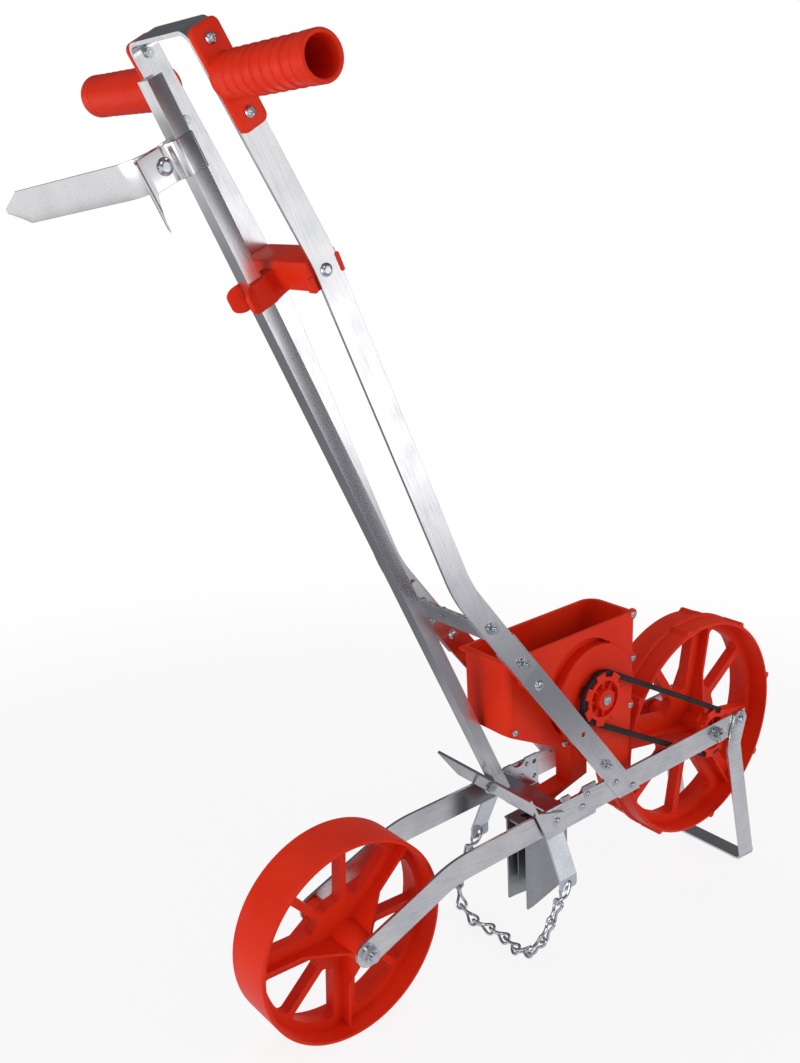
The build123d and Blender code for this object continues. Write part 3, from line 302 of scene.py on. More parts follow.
class Finish(Enum):
    """The planter's finishes, each under the record's slot for it."""

    RED = (
        "red_plastic",
        MouldedPlastic("moulded red polypropylene", "#E02B10", "#E83013", "#EE3817", specular=0.16),
    )
    BAR = (
        "bar_aluminium",
        BareMetal("mill finish aluminium bar", "#C6C8CD", "#E0E0E2", "#F0F0F0", roughness=0.24),
    )
    ZINC = (
        "zinc_steel",
        BareMetal("bright zinc plated steel", "#C2C7CE", "#D4D8DE", "#E4E7EB", roughness=0.24, line_long=4.0),
    )
    SHEET = (
        "sheet_steel",
        BareMetal(
            "dull pressed steel sheet", "#9C9EA2", "#ABAEB2", "#BABDC1", roughness=0.42, line_long=12.0
        ),
    )
    SPRING = (
        "spring_steel",
        BareMetal(
            "polished spring steel", "#C9C9CB", "#D8D8DA", "#E4E4E5", roughness=0.2, along=(0.0, 1.0, 0.0)
        ),
    )
    RUBBER = ("belt_rubber", BeltRubber())
    PLATE = (
        "plate_plastic",
        MouldedPlastic("moulded black polypropylene", "#121214", "#19191B", "#222226"),
    )

    @property
    def slot(self) -> str:
        """The record's material slot."""
        return self.value[0]

    def material(self, part: str = "", along: tuple = ()) -> bpy.types.Material:
        """The finish's material, made once for each direction of its drawn lines.

        Args:
            part: A word for the part whose lines run another way than the recipe's.
            along: The direction of those lines.

        Returns:
            The material.
        """
        recipe = self.value[1]
        if part:
            recipe = replace(recipe, name=f"{recipe.name} {part}", along=along)
        return bpy.data.materials.get(recipe.name) or recipe.build()


# Surfaces as arrays


def unit(vectors: np.ndarray) -> np.ndarray:
    """Scale vectors to length one."""
    vectors = np.asarray(vectors, float)
    return vectors / np.linalg.norm(vectors, axis=-1, keepdims=True)


def smooth(value: np.ndarray) -> np.ndarray:
    """Ease from 0 to 1 as value goes from 0 to 1: three squares less two cubes."""
    value = np.clip(value, 0.0, 1.0)
    return value * value * (3 - 2 * value)


@dataclass
class Shell:
    """Points and faces of one closed surface."""

    points: np.ndarray
    faces: list

    def mirrored(self) -> "Shell":
        """The same surface on the other side of the mid-plane."""
        return Shell(self.points * np.array((1.0, -1.0, 1.0)), [face[::-1] for face in self.faces])


def skin(rings: np.ndarray, closed: bool = False, capped: bool = True) -> Shell:
    """Join rings of equal count into one surface.

    Args:
        rings: Points by ring and place on the ring.
        closed: Whether the last ring meets the first.
        capped: Whether open ends get a flat face.

    Returns:
        The surface, whose face k of ring i spans places k and k + 1 of rings i and i + 1.
    """
    index = np.arange(rings.shape[0] * rings.shape[1]).reshape(rings.shape[:2])
    below = index if closed else index[:-1]
    above = np.roll(index, -1, axis=0) if closed else index[1:]
    quads = np.stack((below, np.roll(below, -1, 1), np.roll(above, -1, 1), above), axis=-1)
    faces = quads.reshape(-1, 4).tolist()
    if capped and not closed:
        faces += [index[0][::-1].tolist(), index[-1].tolist()]
    return Shell(rings.reshape(-1, 3), faces)


def run_lengths(path: np.ndarray) -> np.ndarray:
    """Length along a path up to each of its points: the running sum of its steps."""
    steps = np.linalg.norm(np.diff(path, axis=0), axis=1)
    return np.concatenate(([0.0], np.cumsum(steps)))


def shared_out(path: np.ndarray, count: int) -> np.ndarray:
    """Share points out evenly along a path, by linear interpolation over its length.

    Args:
        path: Points of the path, in two or three dimensions.
        count: How many points to return.

    Returns:
        The points, with the path's ends first and last.
    """
    run = run_lengths(path)
    at = np.linspace(0.0, run[-1], count)
    return np.stack([np.interp(at, run, path[:, k]) for k in range(path.shape[1])], axis=1)


def spaced(path: np.ndarray, step: float) -> np.ndarray:
    """Points along a path whose even spacing is as near to step as its length allows."""
    return shared_out(path, max(2, int(round(run_lengths(path)[-1] / step)) + 1))


def rounded(corners: list, radii: list, step: float) -> np.ndarray:
    """Round a polyline's corners.

    Each corner becomes an arc that touches both runs: its points turn evenly about the arc's centre.

    Args:
        corners: The polyline's points.
        radii: One radius for each inner corner.
        step: The spacing of the returned points.

    Returns:
        Evenly spaced points on the rounded path.
    """
    corners = np.asarray(corners, float)
    parts = [corners[:1]]
    for before, corner, after, radius in zip(corners[:-2], corners[1:-1], corners[2:], radii):
        back = unit(before - corner)
        on = unit(after - corner)
        half = math.acos(float(np.clip(back @ on, -1, 1))) / 2
        turn = math.pi - 2 * half
        centre = corner + unit(back + on) * radius / math.sin(half)
        first = corner + back * radius / math.tan(half) - centre
        last = corner + on * radius / math.tan(half) - centre
        t = np.linspace(0.0, 1.0, max(4, int(4 * turn * radius / step)))[:, None]
        parts.append(centre + (np.sin((1 - t) * turn) * first + np.sin(t * turn) * last) / math.sin(turn))
    parts.append(corners[-1:])
    return spaced(np.concatenate(parts), step)


def headings(path: np.ndarray, closed: bool) -> np.ndarray:
    """Unit tangents of a path, from the points either side.

    Args:
        path: Points of the path.
        closed: Whether the path is a loop.

    Returns:
        One tangent for each point.
    """
    if closed:
        return unit(np.roll(path, -1, axis=0) - np.roll(path, 1, axis=0))
    return unit(np.gradient(path, axis=0))


def flat_bar(
    path: np.ndarray,
    across: np.ndarray,
    low: np.ndarray | float,
    high: np.ndarray | float,
    thick: np.ndarray | float,
    edge: float,
    closed: bool = False,
) -> Shell:
    """Carry a flat section with rounded edges along a path.

    A point is the path's point, plus across times its place between low and high, plus the normal
    times its place within the thickness; the corners are quarter circles of radius edge.

    Args:
        path: Points of the section's middle.
        across: The direction of the section's width, one or one for each point.
        low: Lower end of the width, one or one for each point.
        high: Upper end of the width.
        thick: The thickness, one or one for each point.
        edge: The radius of the corners.
        closed: Whether the path is a loop.

    Returns:
        The bar's surface.
    """
    count = len(path)
    tangent = headings(path, closed)
    across = np.broadcast_to(np.asarray(across, float), path.shape)
    across = unit(across - np.sum(across * tangent, axis=1, keepdims=True) * tangent)
    normal = np.cross(tangent, across)
    quarter = np.linspace(0, math.pi / 2, 4)
    angle = np.concatenate([quarter + k * math.pi / 2 for k in range(4)])
    east = np.repeat((True, False, False, True), len(quarter))
    north = np.repeat((1.0, 1.0, -1.0, -1.0), len(quarter))
    low, high, thick = (np.broadcast_to(np.asarray(v, float), (count,))[:, None] for v in (low, high, thick))
    width = np.where(east, high - edge, low + edge) + edge * np.cos(angle)
    deep = north * (thick / 2 - edge) + edge * np.sin(angle)
    rings = path[:, None] + across[:, None] * width[..., None] + normal[:, None] * deep[..., None]
    return skin(rings, closed=closed)


def wire_loop(path: np.ndarray, guide: np.ndarray, radius: float, sides: int = 10) -> Shell:
    """Carry a circle round a loop: path plus radius times (cosine on one normal, sine on the other).

    Args:
        path: Points of the wire's middle.
        guide: For each point, a direction that the first normal keeps close to.
        radius: The wire's radius.
        sides: Points round the wire.

    Returns:
        The wire's surface.
    """
    tangent = headings(path, closed=True)
    first = unit(guide - np.sum(guide * tangent, axis=1, keepdims=True) * tangent)
    second = np.cross(tangent, first)
    angle = np.arange(sides) * 2 * math.pi / sides
    ring = np.cos(angle)[:, None] * first[:, None] + np.sin(angle)[:, None] * second[:, None]
    return skin(path[:, None] + radius * ring, closed=True)


def lathe(profile: np.ndarray, origin: np.ndarray, axis: np.ndarray, sides: int = 72) -> Shell:
    """Turn a profile about an axis: origin plus axis times the height plus radius times a unit circle.

    Args:
        profile: Heights and radii in order, from pole to pole.
        origin: A point on the axis.
        axis: The axis.
        sides: Points round it.

    Returns:
        The turned surface.
    """
    axis = unit(axis)
    first = unit(np.cross(axis, (0.0, 0.0, 1.0) if abs(axis[2]) < 0.9 else (1.0, 0.0, 0.0)))
    second = np.cross(axis, first)
    angle = np.arange(sides) * 2 * math.pi / sides
    circle = np.cos(angle)[:, None] * first + np.sin(angle)[:, None] * second
    height, radius = profile[:, 0], profile[:, 1]
    return skin(origin + height[:, None, None] * axis + radius[:, None, None] * circle, capped=False)


def plate_outline(half_long: float, half_wide: float, radius: float) -> np.ndarray:
    """Points round a rectangle with rounded corners, a quarter circle at each.

    Args:
        half_long: Half the rectangle's length.
        half_wide: Half its width.
        radius: The radius of its corners.

    Returns:
        The outline's points, along the length and the width.
    """
    quarter = np.linspace(0, math.pi / 2, 6)
    parts = []
    for k, (a, b) in enumerate(((1, 1), (-1, 1), (-1, -1), (1, -1))):
        middle = np.array((a * (half_long - radius), b * (half_wide - radius)))
        turned = quarter + k * math.pi / 2
        parts.append(middle + radius * np.stack((np.cos(turned), np.sin(turned)), axis=1))
    return np.concatenate(parts)


def cast(name: str, shells: list[Shell], finish: Finish, body: str, node: str) -> None:
    """Make one piece from its surfaces, dress it and put it on its body.

    Args:
        name: The piece's name.
        shells: Its closed surfaces, in metres.
        finish: Its finish.
        body: The body that it rides on.
        node: The node that it stands for.
    """
    starts = np.cumsum([0] + [len(shell.points) for shell in shells])
    points = np.concatenate([shell.points for shell in shells])
    faces = [[start + k for k in face] for shell, start in zip(shells, starts) for face in shell.faces]
    mesh = bpy.data.meshes.new(name)
    mesh.from_pydata(points.tolist(), [], faces)
    work = bmesh.new()
    work.from_mesh(mesh)
    bmesh.ops.remove_doubles(work, verts=work.verts, dist=WELD)
    bmesh.ops.recalc_face_normals(work, faces=work.faces)
    work.to_mesh(mesh)
    work.free()
    mesh.shade_smooth()
    mesh.set_sharp_from_angle(angle=math.radians(SHARP_DEG))
    mesh.materials.append(finish.material())
    piece = bpy.data.objects.new(name, mesh)
    bpy.context.scene.collection.objects.link(piece)
    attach(piece, body)
    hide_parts(node)
    LOG.info("made %s with %d faces for %s", name, len(faces), node)


# The planter's own frame


@dataclass(frozen=True)
class Machine:
    """Side-view frame in mm: x forward from the rear axle, z up from the wheels' common ground.

    The stand lifts the nose, so the frame is leaned back about the rear axle.
    """

    tilt_deg: float = 5.84
    rear_r: float = 106.7

    def heading(self, dx: float, dz: float) -> np.ndarray:
        """World direction of a side-view direction."""
        c, s = math.cos(math.radians(self.tilt_deg)), math.sin(math.radians(self.tilt_deg))
        return np.array((c * dx - s * dz, 0.0, s * dx + c * dz))

    def point(self, x: np.ndarray | float, y: np.ndarray | float, z: np.ndarray | float) -> np.ndarray:
        """World points of points in this frame: the rear axle plus each distance along its direction.

        Args:
            x: Distance forward from the rear axle.
            y: Distance left of the mid-plane.
            z: Height above the wheels' common ground.

        Returns:
            The points, in metres.
        """
        x, y, z = (np.asarray(v, float)[..., None] for v in np.broadcast_arrays(x, y, z))
        left = np.array((0.0, 1.0, 0.0))
        lifted = x * self.heading(1, 0) + y * left + (z - self.rear_r) * self.heading(0, 1)
        return REAR_AXLE + MM * lifted


MACHINE = Machine()


@dataclass(frozen=True)
class BarStock:
    """Sizes of the flat-bar frame in mm, shared by the pieces that sit on it."""

    bar_t: float = 3.2
    rail_in: float = 46.5
    gap: float = 0.35

    @property
    def rail_out(self) -> float:
        """Distance from the mid-plane to the rails' outer faces."""
        return self.rail_in + self.bar_t

    @property
    def bar_out(self) -> float:
        """Distance from the mid-plane to the lower bars' outer faces."""
        return self.rail_out + self.bar_t


STOCK = BarStock()


@dataclass(frozen=True)
class PanScrew:
    """A pan-head screw with a cross recess, in mm: a dome less a cross of four arms.

    The arms, the soft step at their walls, the dome's fall and the recess are shares of the head.
    """

    head_r: float
    head_h: float
    shank_long: float
    shank_r: float = 2.0
    arm_half: float = 0.17
    arm_long: float = 0.62
    wall: float = 0.1
    fall: float = 0.62
    recess: float = 0.62
    sides: int = 64

    def build(self, origin: np.ndarray, out: np.ndarray, turn_deg: float = 20.0) -> Shell:
        """Make the screw.

        The head's height is a fourth-power dome; inside the cross it drops by recess of its height.

        Args:
            origin: Where the head sits, in metres.
            out: The direction that the head faces.
            turn_deg: How the cross is turned.

        Returns:
            The screw's surface.
        """
        out = unit(out)
        first = unit(np.cross(out, (0.0, 0.0, 1.0)))
        second = np.cross(out, first)
        angle = np.arange(self.sides) * 2 * math.pi / self.sides
        beyond = self.arm_long + 0.4 * self.wall
        radius = np.concatenate((np.linspace(0, self.arm_long, 14), np.linspace(beyond, 1.0, 9)))
        x = radius[:, None] * np.cos(angle - math.radians(turn_deg))
        y = radius[:, None] * np.sin(angle - math.radians(turn_deg))
        arms = [
            np.minimum(
                smooth((self.arm_half - np.abs(p)) / self.wall + 0.5),
                smooth((self.arm_long - np.abs(q)) / self.wall + 0.5),
            )
            for p, q in ((x, y), (y, x))
        ]
        dome = self.head_h * (1 - self.fall * radius[:, None] ** 4)
        top = dome - self.recess * self.head_h * np.maximum(*arms)
        tail_r = np.array((self.head_r, self.shank_r, self.shank_r, 0.0))
        tail_h = np.array((0.0, 0.0, -self.shank_long, -self.shank_long))
        reach = np.concatenate((self.head_r * radius, tail_r))
        height = np.concatenate((top, np.broadcast_to(tail_h[:, None], (len(tail_h), self.sides))))
        circle = np.cos(angle)[:, None] * first + np.sin(angle)[:, None] * second
        rings = origin + MM * (reach[:, None, None] * circle + height[..., None] * out)
        return skin(rings, capped=False)


@dataclass(frozen=True)
class HandleLegs:
    """The two handle legs, which lean together, with the grips bolted on and the spacer between them."""

    splay_deg: float = 0.98
    base_z: float = 384.0
    knee: tuple[float, float] = (132.0, 441.0)
    elbow: tuple[float, float] = (6.0, 757.0)
    top: tuple[float, float] = (-78.6, 915.4)
    grip_at: tuple[float, float] = (-66.0, 893.0)
    screw_pitch: float = 28.0
    flange_gap: float = 0.15
    flange_t: float = 4.5
    flange_long: float = 80.0
    flange_wide: float = 27.0
    flange_corner: float = 6.0
    grip_long: float = 121.0
    root_r: float = 16.4
    tip_r: float = 17.3
    bore_r: float = 13.6
    bore_round: float = 3.0
    floor_t: float = 2.0
    sunk: float = 1.0
    shoulder: float = 6.0
    swell: float = 0.8
    bands: int = 9
    band_step: float = 1.25
    groove_half: float = 1.1

    def outward(self) -> np.ndarray:
        """Direction square to the right leg, pointing right."""
        lean = math.radians(self.splay_deg)
        return -math.cos(lean) * np.array((0.0, 1.0, 0.0)) + math.sin(lean) * MACHINE.heading(0, 1)

    def at(self, x: float, z: float, out: float) -> np.ndarray:
        """World point of a side-view point on the right leg.

        Args:
            x: Distance forward from the rear axle.
            z: Height above the wheels' common ground, measured up the leaning leg.
            out: Distance out from the leg's inner face.

        Returns:
            The point, in metres.
        """
        up = np.cross(self.outward(), MACHINE.heading(1, 0))
        start = MACHINE.point(0, -STOCK.bar_out, self.base_z)
        return start + MM * (out * self.outward() + x * MACHINE.heading(1, 0) + (z - self.base_z) * up)

    def up(self) -> np.ndarray:
        """World direction up the right leg's top run."""
        return unit(self.at(*self.top, 0) - self.at(*self.elbow, 0))

    def grip_profile(self) -> np.ndarray:
        """Heights and radii of a grip: shoulder, bands that each flare outward, rolled lip and bore.

        The shoulder swells by a power of what is left of it. A band rises evenly by band_step and falls
        back over groove_half with a smooth step, while the bands sink by band_step from root to tip; the
        last one is plain. The lip is a half circle to the bore.

        Returns:
            Heights over the leg and radii, in mm, from the axis round to the axis.
        """
        half_wall = (self.tip_r - self.bore_r) / 2
        end = self.grip_long - half_wall
        root = self.flange_t - self.sunk
        along = np.linspace(root + self.shoulder, end, 40 * self.bands)
        share = (along - along[0]) / (along[-1] - along[0])
        flare = self.root_r + (self.tip_r - self.root_r) * share
        pitch = (along[-1] - along[0]) / self.bands
        into = (along - along[0]) % pitch
        fall = smooth((pitch - into) / self.groove_half)
        band = self.band_step * (into / pitch) * fall
        banded = along < along[-1] - pitch
        outer = np.stack((along, flare + np.where(banded, band - self.band_step * share, 0.0)), axis=1)
        turn = np.linspace(0, math.pi, 14)[1:]
        lip_at = end + half_wall * np.sin(turn)
        lip = np.stack((lip_at, self.bore_r + half_wall + half_wall * np.cos(turn)), axis=1)
        rise = np.linspace(0, 1, 8)[:-1]
        swollen = self.root_r + self.swell * (1 - rise) ** 2.2
        swell = np.stack((root + self.shoulder * rise, swollen), axis=1)
        floor_at = self.flange_t + self.floor_t
        bore = [
            (floor_at + self.bore_round, self.bore_r),
            (floor_at, self.bore_r - self.bore_round),
            (floor_at, 0.0),
        ]
        return np.concatenate(([(root, 0.0)], swell, outer, lip, bore))

    def grip(self) -> list[Shell]:
        """The right grip: a flange with a chamfered rim, which is stacked outlines, and the turned handle.

        Returns:
            The flange and the handle.
        """
        normal = self.outward()
        up = self.up()
        across = np.cross(up, normal)
        origin = self.at(*self.grip_at, STOCK.bar_t + self.flange_gap)
        heights_and_insets = (
            (0.0, 0.5),
            (0.5, 0.0),
            (3.0, 0.0),
            (self.flange_t - 0.5, 1.0),
            (self.flange_t, 2.2),
        )
        rings = []
        for height, inset in heights_and_insets:
            half_long = self.flange_long / 2 - inset
            outline = plate_outline(half_long, self.flange_wide / 2 - inset, self.flange_corner - inset)
            rings.append(origin + MM * (height * normal + outline[:, :1] * up + outline[:, 1:] * across))
        body = lathe(MM * self.grip_profile(), origin, normal)
        return [skin(np.stack(rings)), body]

    def build(self) -> None:
        """Make both grips and their four screws, whose crosses are turned by hand, so unevenly."""
        right = self.grip()
        cast("right_grip_moulding", right, Finish.RED, "frame", "right_grip")
        cast("left_grip_moulding", [shell.mirrored() for shell in right], Finish.RED, "frame", "left_grip")
        screw = PanScrew(head_r=4.4, head_h=2.6, shank_long=STOCK.bar_t + self.flange_t + 4)
        seat = self.at(*self.grip_at, STOCK.bar_t + self.flange_gap + self.flange_t)
        apart = MM * self.screw_pitch * self.up()
        heads = [screw.build(seat + s * apart, self.outward(), 25 + 30 * s) for s in (-1, 1)]
        heads += [head.mirrored() for head in heads]
        cast("grip_pan_screws", heads, Finish.ZINC, "frame", "grip_screws")


@dataclass(frozen=True)
class MarkerFrame:
    """The row marker's own frame in mm: u runs up its bar, n is square to it and points forward."""

    pivot: tuple[float, float] = (226.5, 178.0)
    middle_y: float = 10.0
    lean_deg: float = 24.3
    deep: float = 14.0
    wide: float = 16.0

    def side(self, n: np.ndarray | float, u: np.ndarray | float) -> tuple[np.ndarray, np.ndarray]:
        """Side-view x and z of points at n and u."""
        c, s = math.cos(math.radians(self.lean_deg)), math.sin(math.radians(self.lean_deg))
        return self.pivot[0] + n * c - u * s, self.pivot[1] + n * s + u * c

    def at(self, n: np.ndarray | float, y: np.ndarray | float, u: np.ndarray | float) -> np.ndarray:
        """World points of points in this frame.

        Args:
            n: Distance forward from the bar's middle, square to it.
            y: Distance left of the bar's middle.
            u: Distance up the bar from its pivot.

        Returns:
            The points, in metres.
        """
        n, y, u = np.broadcast_arrays(n, y, u)
        x, z = self.side(n, u)
        return MACHINE.point(x, self.middle_y + y, z)

    def up(self) -> np.ndarray:
        """World direction up the bar."""
        lean = math.radians(self.lean_deg)
        return MACHINE.heading(-math.sin(lean), math.cos(lean))


MARKER = MarkerFrame()


@dataclass(frozen=True)
class MarkerClamp:
    """One spring strip folded round the marker bar, with a thumb tab and a long pointed blade, in mm."""

    at_u: float = 729.3
    wide: float = 28.5
    thick: float = 1.2
    leg_y: float = 0.8
    strip_y: float = 6.2
    pinch_n: float = -15.0
    thumb_n: float = -43.0
    thumb: tuple[float, float] = (-48.5, -13.0)
    thumb_down: float = 26.0
    bend_n: float = -40.0
    tip: tuple[float, float] = (-90.0, 173.0)
    top_cut: tuple[float, float] = (24.0, 12.0)
    low_cut: tuple[float, float] = (23.0, 12.0)
    cut_power: float = 0.9
    fold_r: tuple = (4.5, 7.5, 6.5, 1.6, 1.6, 4.0, 4.0, 30.0)
    overhang: float = 3.5
    tab_ease: float = 9.0
    edge: float = 0.35
    step: float = 0.6

    def build(self) -> None:
        """Carry the strip's section round its folds.

        The tab's lower edge eases up to the strip's over tab_ease; at the point both edges come in by a
        power of what is left of each cut.
        """
        side = MARKER.wide / 2 + STOCK.gap + self.thick / 2
        front = MARKER.deep / 2 + STOCK.gap + self.thick / 2
        rear = -MARKER.deep / 2 - self.overhang
        corners = [
            self.thumb,
            (self.thumb_n, self.leg_y),
            (self.pinch_n, self.leg_y),
            (rear, -side),
            (front, -side),
            (front, side),
            (rear, side),
            (self.pinch_n - 1, self.strip_y),
            (self.bend_n, self.strip_y),
            self.tip,
        ]
        path = rounded(corners, self.fold_r, self.step)
        run = run_lengths(path)
        left = run[-1] - run
        tab = 1 - smooth((run - abs(self.thumb[1]) + 1) / self.tab_ease)
        low_in, top_in = (
            deep * np.clip(1 - left / long, 0, 1) ** self.cut_power
            for long, deep in (self.low_cut, self.top_cut)
        )
        low = -self.wide / 2 - self.thumb_down * tab + low_in
        high = self.wide / 2 - top_in
        world = MARKER.at(path[:, 0], path[:, 1], self.at_u)
        shell = flat_bar(world, MARKER.up(), MM * low, MM * high, MM * self.thick, MM * self.edge)
        cast("marker_clamp_spring", [shell], Finish.SPRING, "clamp", "marker_clamp")


@dataclass(frozen=True)
class MarkerClip:
    """Moulded spacer between the legs, with two flared fingers that hold the marker bar, in mm."""

    spacer_at: tuple[float, float] = (6.7, 749.5)
    half: float = 46.2
    tall: float = 26.0
    rear: float = 14.0
    front: float = 17.0
    bulge: float = 2.5
    shelf: float = 1.2
    corner_r: float = 3.0
    end_round: float = 0.6
    end_scale: float = 0.97
    hook_at: float = 14.6
    heel_at: tuple[float, float] = (-14.9, -5.8)
    lug_root: float = 6.0
    clip_u: float = 606.8
    finger_half: float = 11.8
    finger_t: float = 4.4
    finger_end: float = 11.0
    edge: float = 1.5

    def spacer_point(
        self, across: np.ndarray | float, y: np.ndarray | float, along: np.ndarray | float
    ) -> np.ndarray:
        """World points in the spacer's own frame, which is turned to the legs' lower run.

        Args:
            across: Distance forward from the spacer's bolt, square to the legs.
            y: Distance left of the mid-plane.
            along: Distance up the legs.

        Returns:
            The points, in metres.
        """
        knee, elbow = np.array(LEGS.knee), np.array(LEGS.elbow)
        up = unit(elbow - knee)
        x = self.spacer_at[0] + across * up[1] + along * up[0]
        z = self.spacer_at[1] - across * up[0] + along * up[1]
        return MACHINE.point(x, y, z)

    def spacer(self) -> list[Shell]:
        """The spacer: a side outline carried across, with a hook and a heel at each end.

        The outline's rear face bulges by a cosine over its height, and its front corners are quarter
        circles; its two ends are slightly smaller.

        Returns:
            The block, and a hook and a heel for each end.
        """
        v = np.linspace(-1, 1, 25)
        bulged = -self.rear - self.bulge * np.cos(v * math.pi / 2)
        back = np.stack((bulged, v * (self.tall / 2 - self.end_round)), axis=1)
        turn = np.linspace(0, math.pi / 2, 5)
        corner = self.corner_r * np.stack((np.sin(turn), np.cos(turn)), axis=1)
        high = np.array((self.front - self.corner_r, self.tall / 2 - self.corner_r)) + corner
        low = high[::-1] * np.array((1.0, -1.0))
        step = self.shelf - self.rear
        outline = np.concatenate((back, [(step, self.tall / 2)], high, low, [(step, -self.tall / 2)]))
        y = np.array((-self.half, self.end_round - self.half, self.half - self.end_round, self.half))
        scale = np.array((self.end_scale, 1.0, 1.0, self.end_scale))
        across, along = (outline[:, k] * scale[:, None] for k in (0, 1))
        shells = [skin(self.spacer_point(across, y[:, None], along))]
        rise = unit(self.spacer_point(0.0, 0.0, 1.0) - self.spacer_point(0.0, 0.0, 0.0))
        for s in (-1, 1):
            hooked = np.linspace(self.half - self.lug_root, self.half + STOCK.bar_t + 0.8, 6)
            hook = self.spacer_point(self.hook_at, s * hooked, 0.0)
            heeled = np.linspace(self.half - self.lug_root, self.half + 1.6, 6)
            heel = self.spacer_point(self.heel_at[0], s * heeled, self.heel_at[1])
            shells.append(flat_bar(hook, rise, -8.2 * MM, 8.2 * MM, 4.0 * MM, self.edge * MM))
            shells.append(flat_bar(heel, rise, -7.0 * MM, 6.0 * MM, 4.6 * MM, 1.6 * MM))
        return shells

    def finger(self, side: float, lip: tuple[float, float]) -> Shell:
        """One finger: a tongue from the neck along the bar's side, flared out to a round lip.

        Its half width follows a circle over finger_end at the lip and eases in at the neck, and its
        thickness eases from a stout root to a thinner lip.

        Args:
            side: -1 for the right finger, 1 for the left one.
            lip: The lip's end in the marker's frame.

        Returns:
            The finger's surface.
        """
        near = MARKER.wide / 2 + STOCK.gap + self.finger_t / 2
        corners = [(33.0, side * 5.5), (15.0, side * 6.5), (7.0, side * near), (-9.0, side * near), lip]
        path = rounded(corners, [14.0, 9.0, 10.0], 0.7)
        run = run_lengths(path)
        left = run[-1] - run
        tip = np.sqrt(np.clip(1 - np.clip(1 - left / self.finger_end, 0, 1) ** 2, 0.02, 1))
        half = self.finger_half * (0.4 + 0.6 * tip) - 1.5 * smooth(1 - run / 20)
        thick = self.finger_t + 2.6 * smooth(1 - run / 16) - 0.8 * smooth(1 - left / 14)
        world = MARKER.at(path[:, 0], path[:, 1], self.clip_u)
        return flat_bar(world, MARKER.up(), -MM * half, MM * half, MM * thick, MM * self.edge)

    def build(self) -> None:
        """Make the spacer block, and the clip with its neck, bridge and two fingers."""
        cast("handle_spacer_moulding", self.spacer(), Finish.RED, "frame", "handle_spacer")
        bridge_n = MARKER.deep / 2 + STOCK.gap + self.finger_t / 2
        bridge = MARKER.at(bridge_n, np.linspace(-9.5, 9.5, 9), self.clip_u)
        neck = MARKER.at(np.linspace(bridge_n - 1, 34, 9), 0.0, self.clip_u)
        shells = [
            self.finger(-1.0, (-17.5, -16.0)),
            self.finger(1.0, (-19.5, 14.0)),
            flat_bar(bridge, MARKER.up(), -11.5 * MM, 11.5 * MM, self.finger_t * MM, self.edge * MM),
            flat_bar(neck, MARKER.up(), -11.0 * MM, 11.0 * MM, 13.0 * MM, 3.0 * MM),
        ]
        cast("marker_clip_moulding", shells, Finish.RED, "frame", "marker_clip")


LEGS = HandleLegs()


